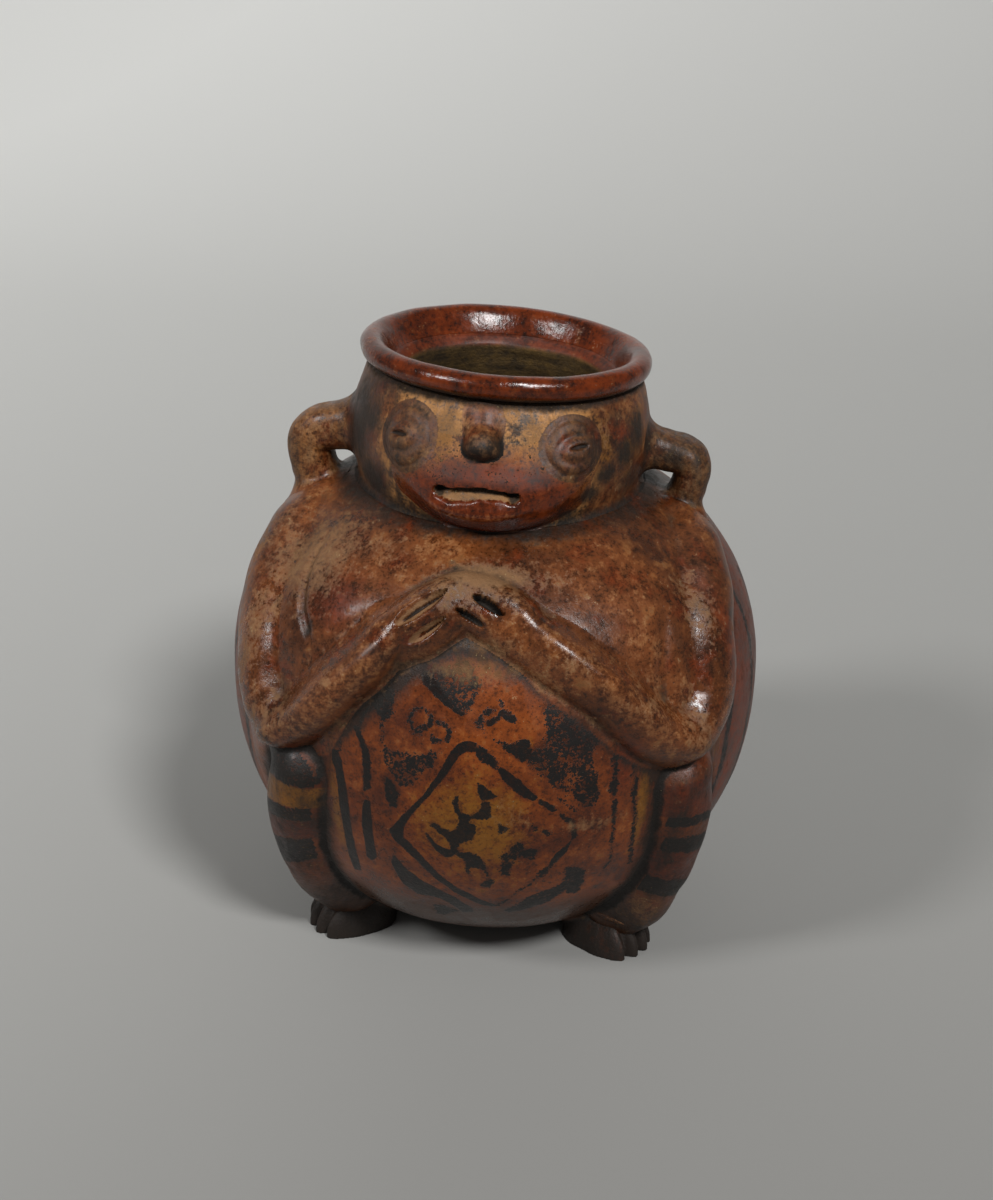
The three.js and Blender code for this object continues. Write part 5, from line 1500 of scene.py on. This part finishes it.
def head_values(azimuth, z, inside, part="neck", rough=None, fine=0.0, cut=None, points=None):
    """The same on the neck, and on the parts of the face, whose relief is given as rough and fine."""
    level = z - SHOULDER_HEIGHT
    outside = 1 - inside
    lined_here = inside * (1 - smoothstep(THROAT_HEIGHT - 0.5, THROAT_HEIGHT + 0.2, z))
    funnel = inside - lined_here
    red = np.maximum(clouds(azimuth, level, HEAD_RED) if part == "lips" else 0 * level, funnel)
    # Under the rim: dust, and painted shade as a dark line
    under_rim = smoothstep(RIM_SEAM - 3.2, RIM_SEAM - 0.6, z) * outside
    # Partly a sooty smear and partly painted shade, round the foot of the neck
    foot_of_neck = (1 - smoothstep(0, 5.5, level)) * outside * (part == "neck")
    rough = np.zeros(level.shape) if rough is None else rough
    hollow = np.maximum(under_rim, np.clip(-rough / 0.9, 0, 1) * 0.8)
    # Painted shade as dark lines in the creases of the face, under the rim and round the foot of the neck
    creases = np.maximum(under_rim * 1.1, np.maximum(-fine / 0.25, foot_of_neck * 1.6 - 0.8))
    values = {
        "paint": np.full(level.shape, NO_PAINT), "worn": np.full(level.shape, 0.3), "brown": 1 - red,
        "hollow": np.clip(hollow, 0, 1), "proud": np.clip(rough / 0.5, 0, 1),
        "crease": np.clip(creases, 0, 1),
        "tan": (1 - red) * outside * (1 - 0.8 * smoothstep(31, 47, np.abs(azimuth))),
        "dust": clouds(azimuth, level, HEAD_DUST) * (1 - 0.8 * red),
        "soot": np.maximum(clouds(azimuth, level, HEAD_SOOT), foot_of_neck) * outside,
        "ochre": clouds(azimuth, level, HEAD_ORANGE) * outside * (1 - red), "red": red,
        "dull": 0 * level, "bare": lined_here,
    }
    for key, share in PART_SHARES.get(part, {}).items():
        values[key] = share * values[key]
    if part == "lips":
        values["worn"] = 0.12 + 1.7 * smoothstep(10.5, 14, level)
    if part == "eye":
        values["soot"] = np.maximum(values["soot"] * 0.8, 0.76)
    # The nose is darker towards its bottom
    if part == "nose":
        values["soot"] = 0.45 + 0.9 * (1 - smoothstep(19.0, 27.0, level))
    # In the mouth: dust on its shelf, and painted shade along its upper edge, at its corners and in its
    # deepest part
    if cut is not None:
        deep = smoothstep(0.3, 1.2, cut)
        shelf = 1 - smoothstep(1.9, 2.5, cut)
        values["dust"] = np.maximum(values["dust"], 1.1 * deep * shelf)
        values["tan"] = np.maximum(values["tan"], deep)
        u, v = spot_offsets(points, MOUTH_AZIMUTH, MOUTH_LEVEL)
        brim = np.clip(smoothstep(-0.3, 0.5, v + 0.02 * u) + smoothstep(7.0, 8.8, np.abs(u)), 0, 1)
        values["crease"] = values["crease"] * (1 - deep) + 1.1 * deep * brim
        values["soot"] = np.maximum(values["soot"] * (1 - deep), 1.2 * deep * (1 - shelf))
        values["red"] = values["red"] * (1 - deep)
        values["hollow"] = values["hollow"] * (1 - deep)
    return values


def face_values(points, azimuth, z, height, part, cut):
    whole = height if cut is None else height + cut
    return head_values(azimuth, z, 0 * z, part, relief(whole, 5), relief(whole, 2), cut, points)


def solid_values(points, own, carrier):
    """Lugs and feet: dust and painted shade lie where they join the wall, the feet are darkened with dirt and
    painted shade, and their skin under the wall is like the wall.
    """
    count = len(points)
    joint = (1 - smoothstep(0.3, 2.6, carrier)) * (1 - smoothstep(0.3, 2.6, own))
    foot = points[:, 2] < 60
    wall = 1 - smoothstep(0.2, 2.0, carrier)
    body = body_values(azimuth_of(points), np.clip(points[:, 2], 0, SHOULDER_HEIGHT), np.zeros(count))
    lump = clay_noise(points, 7, 4.2)
    lug_soot = np.where(points[:, 0] < 0, 0.62, 0.88)
    values = {
        "paint": np.full(count, NO_PAINT), "worn": np.full(count, 0.4), "brown": np.where(foot, 0.3, 1.0),
        "hollow": np.clip(joint * 1.2, 0, 1), "proud": np.clip(lump, 0, 1) * 0.4,
        # A dark line of painted shade where they join the wall
        "crease": np.clip(joint * 1.2 - 0.6, 0, 1), "tan": np.where(foot, 0.0, 0.4),
        "dust": np.where(foot, 0.1 * lump, 0.42 + 0.3 * joint),
        # The feet: dirt and painted shade; the lugs: sooty slip
        "soot": np.where(foot, 1.25, lug_soot) + 0.1 * lump,
        "ochre": np.zeros(count), "red": np.zeros(count), "dull": np.where(foot, 0.7, 0.0),
        "bare": np.zeros(count),
    }
    return {key: value * (1 - wall) + body[key] * wall for key, value in values.items()}


def mark_rim(piece):
    """Sharp edges and values for the rim that its tree has made, with dust and painted shade under its roll.
    """
    mesh = piece.data
    mesh.set_sharp_from_angle(angle=SHARP_CREASE * DEG)
    points = np.zeros(len(mesh.vertices) * 3, dtype=np.float32)
    mesh.vertices.foreach_get("co", points)
    points = points.reshape(-1, 3) / MM
    radius = np.hypot(points[:, 0] - RIM_OFFSET, points[:, 1])
    azimuth = azimuth_of(points)
    rise = points[:, 2] - RIM_SEAM + rim_dip(points)
    outside = smoothstep(RIM_RADIUS - ROLL_RADIUS - 1, RIM_RADIUS - ROLL_RADIUS + 1, radius)
    # Under the roll: dust, and painted shade as a dark line
    under = (1 - smoothstep(0.6, 2.2, rise)) * outside
    zero = np.zeros(len(points))
    top = np.exp(-(((radius - RIM_RADIUS + ROLL_RADIUS) / 1.6) ** 2)) * smoothstep(4.5, 6.0, rise)
    for key, value in {
        "paint": zero + NO_PAINT, "worn": zero, "brown": zero, "hollow": under, "proud": 0.5 * top,
        "crease": under, "tan": zero,
        "dust": np.maximum(0.55 * under, clouds(azimuth, rise, [(-75, 4, 30, 9, 0.5), (130, 4, 40, 9, 0.3)])),
        "soot": clouds(azimuth, rise, [(-60, 3, 25, 3, 0.5), (100, 2, 30, 3, 0.4)]),
        "ochre": zero, "red": zero + 1, "dull": zero, "bare": zero,
    }.items():
        put_values(mesh, key, value)


# Fired clay

MIX_LOW, MIX_HIGH, MIX_RESULT = 6, 7, 2  # places of the colour sockets on a Mix node


def blend(tree, low, high, share):
    """Low where share is nothing and high where it is one. Colours are linear."""
    low, high = ((*colour, 1) if isinstance(colour, tuple) else colour for colour in (low, high))
    node = add_node(tree, "ShaderNodeMix", {0: share, MIX_LOW: low, MIX_HIGH: high}, data_type="RGBA")
    return node.outputs[MIX_RESULT]


def srgb(r, g, b):
    """A colour as it looks on a screen, 0 to 255, as linear light."""
    return tuple(v / 255 / 12.92 if v < 10.3 else ((v / 255 + 0.055) / 1.055) ** 2.4 for v in (r, g, b))


# Slips, paint, dirt and painted shade
BROWN_DEEP, BROWN_SLIP, BROWN_PALE = srgb(62, 31, 12), srgb(112, 61, 28), srgb(162, 116, 74)
ORANGE_DEEP, ORANGE_SLIP = srgb(76, 31, 7), srgb(128, 60, 12)
RED_DEEP, RED_SLIP = srgb(58, 20, 5), srgb(114, 45, 9)
TAN_DEEP, TAN_SLIP = srgb(66, 48, 26), srgb(196, 138, 76)
OCHRE_SLIP, MAUVE_BROWN = srgb(120, 76, 12), srgb(62, 40, 25)
BLACK_PAINT, SOOT_AND_SHADE, DARK_GRAIN_PITS_AND_SHADE = srgb(14, 10, 8), srgb(22, 18, 13), srgb(16, 11, 6)
DUST, DUST_PALE = srgb(132, 97, 63), srgb(204, 180, 132)
BARE_DARK, BARE_CLAY = srgb(42, 30, 10), srgb(96, 72, 30)

PORE_GAP, PORE_RADIUS = 1.9, 0.14  # millimetres between pores, and their radius as a share of that
IOR, SPECULAR, LEAST_ROUGH, MOST_ROUGH = 1.5, 0.42, 0.16, 0.95


def fired_clay(name, gloss, dirt=0.0):
    """Burnished slip on hand-built clay, with paint, sooty smudges, painted shade, dust in the hollows, pale
    speckles that are partly painted glints, and wear on what stands proud.

    Gloss is the roughness of the clean burnished slip.
    """
    material = bpy.data.materials.new(name)
    material.use_nodes = True
    tree = material.node_tree
    link = tree.links.new
    shader = tree.nodes["Principled BSDF"]
    place = tree.nodes.new("ShaderNodeTexCoord").outputs["Object"]

    def value(key):
        return Wire(tree, add_node(tree, "ShaderNodeAttribute", {}, attribute_name=key).outputs["Fac"])

    def mapped(scale, turn=(0, 0, 0)):
        inputs = {"Scale": scale, "Rotation": turn, "Vector": place}
        return add_node(tree, "ShaderNodeMapping", inputs).outputs[0]

    def noise(size, detail, rough, at=None, shift=0.0):
        """Noise from about -1 to 1 with features about size millimetres wide."""
        node = add_node(tree, "ShaderNodeTexNoise", {
            "Vector": at or place, "W": shift, "Scale": 1 / (size * MM) if at is None else 1 / size,
            "Detail": detail, "Roughness": rough,
        }, noise_dimensions="4D")
        return (Wire(tree, node.outputs[0]) - 0.5) * 2.6

    cloud = noise(22, 2, 0.5)
    patch = noise(7, 4, 0.6, shift=3)
    blotch = noise(4, 4, 0.65, shift=23)
    fleck = noise(2.2, 5, 0.7, shift=7)
    grain = noise(0.85, 4, 0.75, shift=11)
    rub = noise(2.0, 4, 0.6, at=mapped((350, 350, 1500)), shift=5)
    stroke = noise(1.4, 4, 0.65, at=mapped((900, 900, 130), (0.35, 0.2, 0)), shift=9)

    brown, tan = value("brown"), value("tan")
    hollow, crease, proud = value("hollow"), value("crease"), value("proud")
    chest = blend(tree, BROWN_DEEP, BROWN_SLIP, (patch * 1.1 + cloud * 0.9 + fleck * 0.5 + 0.5).clipped())
    pale = (blotch * 0.8 + cloud * 0.9 + fleck * 0.7 + grain * 0.5 - 0.35).clipped(0, 0.6)
    chest = blend(tree, chest, BROWN_PALE, pale)
    chest = blend(tree, chest, RED_SLIP, (patch * -1.3 + fleck * 0.5 - 0.12).clipped(0, 0.75))
    belly = blend(tree, ORANGE_DEEP, ORANGE_SLIP, (patch * 0.9 + cloud * 0.8 + fleck * 0.5 + 0.5).clipped())
    colour = blend(tree, belly, chest, brown)
    pale = (blotch * 0.9 + patch * 0.8 + fleck * 0.9 + grain * 0.8 + 0.45).clipped()
    face = blend(tree, TAN_DEEP, TAN_SLIP, pale)
    colour = blend(tree, colour, face, (tan + patch * 0.5 + fleck * 0.3 - 0.1).clipped(0, 0.9))
    ochre = (value("ochre") * 1.5 + fleck * 0.9 + patch * 0.7 - 0.6).clipped(0, 0.85)
    colour = blend(tree, colour, OCHRE_SLIP, ochre)
    red = blend(tree, RED_DEEP, RED_SLIP, (patch * 0.9 + fleck * 0.6 + rub * 0.4 + 0.5).clipped())
    red = blend(tree, red, BROWN_SLIP, (fleck * 0.9 + blotch * 0.9 - 0.2).clipped(0, 0.6))
    redness = (value("red") * 1.8 + fleck * 0.4 + patch * 0.4 - 0.5).clipped()
    colour = blend(tree, colour, red, redness)
    # Darker mauve-brown towards the bottom of the belly and on the feet
    dull = (value("dull") * 1.3 + patch * 0.5 + fleck * 0.3 - 0.3).clipped(0, 0.85)
    colour = blend(tree, colour, MAUVE_BROWN, dull)
    colour = blend(tree, colour, DARK_GRAIN_PITS_AND_SHADE, (grain * -1.5 + fleck * -0.9 + patch * -0.3).clipped(0, 0.75))
    colour = blend(tree, colour, DUST_PALE, (grain * 1.1 + fleck * 0.5 + blotch * 0.4 - 0.45).clipped(0, 0.4))

    # Black paint, whole where it is thick and broken into flakes where it is worn
    worn = value("worn")
    flaking = (fleck * 0.8 + grain * 1.2 + blotch * 0.5) * (worn * 3.2 + 0.15)
    painted = ((value("paint") + 0.15).clipped(-2, 0.65) + flaking - worn * 0.3).step(-0.1, 0.12)
    colour = blend(tree, colour, BLACK_PAINT, painted * ((grain * 0.3 + fleck * 0.2 + 0.98).clipped()))

    # Sooty smudges together with painted shade in the broad hollows, at the foot of the neck, under the chin
    # and the rim, in deep cuts and on the feet; then painted shade as a dark line in each crease
    soot_and_shade_mask = (value("soot") * 1.5 + patch * 0.9 + stroke * 0.5 + fleck * 0.5 - 0.72).clipped(0, 0.92)
    colour = blend(tree, colour, SOOT_AND_SHADE, soot_and_shade_mask)
    line = (crease * 1.3 + fleck * 0.8 + patch * 0.9 - 0.38).clipped(0, 0.88)

    # Wear on what stands proud, then dust in the hollows and in films, and pale speckles that are partly dust
    # and partly painted glints
    wear = ((proud - 0.4) * 0.6 + fleck * 0.6 + grain * 0.4 - 0.3).clipped(0, 0.35)
    colour = blend(tree, colour, BROWN_PALE, wear)
    film = value("dust") * 1.45 + fleck * 0.8 + blotch * 0.6 + stroke * 0.7 + grain * 0.6 + dirt
    silt = (hollow * 0.7 + film * 0.5 + blotch * 0.9 + stroke * 0.5 - 0.5).clipped(0, 0.7) * hollow
    haze = ((film - 0.62) * 0.9).clipped(0, 0.8) * (soot_and_shade_mask * -0.75 + 1.0)
    colour = blend(tree, colour, DUST, haze)
    colour = blend(tree, colour, DUST, silt)
    # Painted shade: a dark line in the creases
    colour = blend(tree, colour, DARK_GRAIN_PITS_AND_SHADE, line)
    speckled = (hollow * 0.5 + film * 0.5 + patch * 0.8 - 0.35).clipped()
    glint_and_dust_specks = (grain * 1.6 + fleck * 0.8 - 0.62).step(0, 0.25) * speckled
    colour = blend(tree, colour, DUST_PALE, (glint_and_dust_specks * 0.75).clipped(0, 0.75))
    spots = add_node(tree, "ShaderNodeTexVoronoi", {
        "Vector": place, "W": 4.0, "Scale": 1 / (PORE_GAP * MM),
    }, voronoi_dimensions="4D")
    round_spots = Wire(tree, spots.outputs["Distance"]).step(PORE_RADIUS, PORE_RADIUS * 0.4)
    pores = round_spots * (cloud * 0.9 + patch * 0.9 + 0.35).clipped()
    colour = blend(tree, colour, DARK_GRAIN_PITS_AND_SHADE, (pores * 0.8).clipped(0, 0.7))

    # Bare lining
    bare = value("bare")
    ridges = noise(2.4, 4, 0.6, at=mapped((260, 260, 1500)), shift=13)
    lining = blend(tree, BARE_DARK, BARE_CLAY, (ridges * 0.6 + patch * 0.9 + fleck * 0.5 + 0.4).clipped())
    colour = blend(tree, colour, lining, bare)
    link(colour, shader.inputs["Base Color"])

    dusty = (haze + silt + glint_and_dust_specks + soot_and_shade_mask * 0.35 + line * 0.5 + bare + painted * 0.1).clipped()
    rough = dusty * (0.8 - gloss) + gloss + worn * 0.26 + fleck * 0.12 + grain * 0.08 + patch * 0.08
    link(rough.clipped(LEAST_ROUGH, MOST_ROUGH).socket, shader.inputs["Roughness"])
    shader.inputs["IOR"].default_value = IOR
    shader.inputs["Specular IOR Level"].default_value = SPECULAR
    height = (
        grain * (dusty * 0.2 + 0.02) + fleck * (dusty * 0.08 + 0.03) + rub * 0.01 + stroke * 0.03
        + patch * 0.03 + painted * 0.02 - pores * 0.12 + glint_and_dust_specks * 0.05 + silt * 0.05 - line * 0.08
        + ridges * bare * 0.12
    )
    bump = add_node(tree, "ShaderNodeBump", {"Strength": 1.0, "Distance": MM, "Height": height})
    link(bump.outputs[0], shader.inputs["Normal"])
    return material


# Putting it together

CLAYS = {
    "body_paint": fired_clay("painted and burnished slip", 0.3),
    "brown_slip": fired_clay("brown burnished slip", 0.24, 0.06),
    "worn_slip": fired_clay("worn slip of the head", 0.38, 0.1),
    "red_slip": fired_clay("glossy red slip", 0.17, -0.1),
}
pieces = make_walls()
pieces.update(make_limbs())
pieces.update(make_face())
pieces.update(make_lugs())
pieces.update(make_feet())
tree, sizes = rim_tree()
pieces["rim_collar"] = grown("rolled_rim", tree, {**sizes, "Clay": CLAYS["red_slip"]})
mark_rim(pieces["rim_collar"])
SLOTS = {
    "body_paint": ["base_bowl", "shoulder_wall", "left_leg", "right_leg"],
    "brown_slip": [
        "left_upper_arm", "right_upper_arm", "left_forearm", "right_forearm", "left_hand", "right_hand",
        "left_lug", "right_lug",
    ],
    "worn_slip": ["neck_wall", "left_foot", "right_foot", "nose", "left_eye_disc", "right_eye_disc"],
    "red_slip": ["rim_collar", "lip_band"],
}
for slot, nodes in SLOTS.items():
    for node in nodes:
        piece = pieces[node]
        if not piece.data.materials:
            piece.data.materials.append(CLAYS[slot])
        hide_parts(node)
        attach(piece, "root")


# Camera, floor and light

def toward(azimuth, elevation):
    """The direction out from the axis at an azimuth and an elevation."""
    a, e = azimuth * DEG, elevation * DEG
    return Vector((math.sin(a) * math.cos(e), -math.cos(a) * math.cos(e), math.sin(e)))


def aim_camera(azimuth, elevation, roll, distance, target, shift):
    """A camera that looks at a target, in millimetres. The shift is in shares of the picture's height."""
    turn, roll = azimuth * DEG, roll * DEG
    back = toward(azimuth, elevation)
    right = Vector((math.cos(turn), math.sin(turn), 0))
    up = back.cross(right)
    right, up = right * math.cos(roll) + up * math.sin(roll), up * math.cos(roll) - right * math.sin(roll)
    data = bpy.data.cameras.new("camera")
    data.sensor_fit, data.sensor_height, data.lens = "VERTICAL", 36, 60
    data.shift_x, data.shift_y = shift
    data.clip_start, data.clip_end = 0.02, 20
    camera = bpy.data.objects.new("camera", data)
    matrix = Matrix((right, up, back)).transposed().to_4x4()
    matrix.translation = (Vector(target) + back * distance) * MM
    camera.matrix_world = matrix
    bpy.context.collection.objects.link(camera)
    bpy.context.scene.camera = camera


LAMP_DISTANCE, LAMP_SIZE, LAMP_AIM_HEIGHT = 2.4, 0.5, 0.08  # metres


def soft_light(name, azimuth, elevation, power):
    data = bpy.data.lights.new(name, "AREA")
    data.shape, data.size, data.energy = "DISK", LAMP_SIZE, power
    lamp = bpy.data.objects.new(name, data)
    out = toward(azimuth, elevation)
    lamp.location = out * LAMP_DISTANCE + Vector((0, 0, LAMP_AIM_HEIGHT))
    lamp.rotation_euler = out.to_track_quat("Z", "Y").to_euler()
    bpy.context.collection.objects.link(lamp)


# The paper in painted shade and in painted light, and its roughness
PAPER_IN_PAINTED_SHADE, PAPER_IN_PAINTED_LIGHT, PAPER_ROUGHNESS = srgb(124, 123, 120), srgb(231, 231, 228), 0.9


def make_sweep():
    """The paper sweep that the jar stands on, in metres: flat, then curving up behind it, with light falloff
    painted into its colour.
    """
    across, along = np.linspace(-2.6, 2.6, 27), np.linspace(-1.6, 4.6, 94)
    x, t = np.meshgrid(across, along, indexing="ij")
    start, radius = 0.62, 0.8
    bend = np.clip((t - start) / radius, 0, math.pi / 2)
    rest = np.maximum(t - start - radius * math.pi / 2, 0)
    y = np.minimum(t, start) + radius * np.sin(bend)
    z = radius * (1 - np.cos(bend)) + rest
    count = len(along)
    i, j = np.meshgrid(np.arange(len(across) - 1), np.arange(count - 1), indexing="ij")
    i, j = i.ravel(), j.ravel()
    faces = np.stack([i * count + j, (i + 1) * count + j, (i + 1) * count + j + 1, i * count + j + 1], axis=1)
    points = np.stack([x, y, z], axis=-1).reshape(-1, 3) / MM
    sweep = mesh_piece("paper_sweep", points, faces, crease=0)
    material = bpy.data.materials.new("pale grey paper")
    material.use_nodes = True
    tree = material.node_tree
    shader = tree.nodes["Principled BSDF"]
    place = tree.nodes.new("ShaderNodeTexCoord").outputs["Object"]
    place = add_node(tree, "ShaderNodeSeparateXYZ", {0: place})
    right, back = Wire(tree, place.outputs["X"]), Wire(tree, place.outputs["Y"])
    # Painted light falloff: paler to the left and the back, and darker to the right, the more so towards the
    # back
    left_side, right_side = right.clipped(-3, 0), right.clipped(0, 3)
    painted_light_falloff = back * 0.62 - left_side * 0.66 - right_side * (back * 0.35 + 0.2) + 0.18
    tree.links.new(blend(tree, PAPER_IN_PAINTED_SHADE, PAPER_IN_PAINTED_LIGHT, painted_light_falloff.clipped()), shader.inputs["Base Color"])
    shader.inputs["Roughness"].default_value = PAPER_ROUGHNESS
    sweep.data.materials.append(material)


aim_camera(
    azimuth=5, elevation=25.6, roll=1.6, distance=576, target=(0, 0, 75), shift=(1.5 / 1200, 55 / 1200)
)
make_sweep()
soft_light("left lamp", azimuth=-49, elevation=42, power=23)
soft_light("right lamp", azimuth=32, elevation=47, power=43)
ROOM_SEEN, ROOM_LIGHT = 0.59, 0.155  # how bright the white room is to the camera, and as a light
world = bpy.data.worlds.new("room")
world.use_nodes = True
tree = world.node_tree
room = tree.nodes["Background"]
room.inputs["Color"].default_value = (1, 1, 1, 1)
seen = Wire(tree, tree.nodes.new("ShaderNodeLightPath").outputs["Is Camera Ray"])
tree.links.new((seen * (ROOM_SEEN - ROOM_LIGHT) + ROOM_LIGHT).socket, room.inputs["Strength"])
bpy.context.scene.world = world
bpy.context.scene.view_settings.view_transform = "Standard"
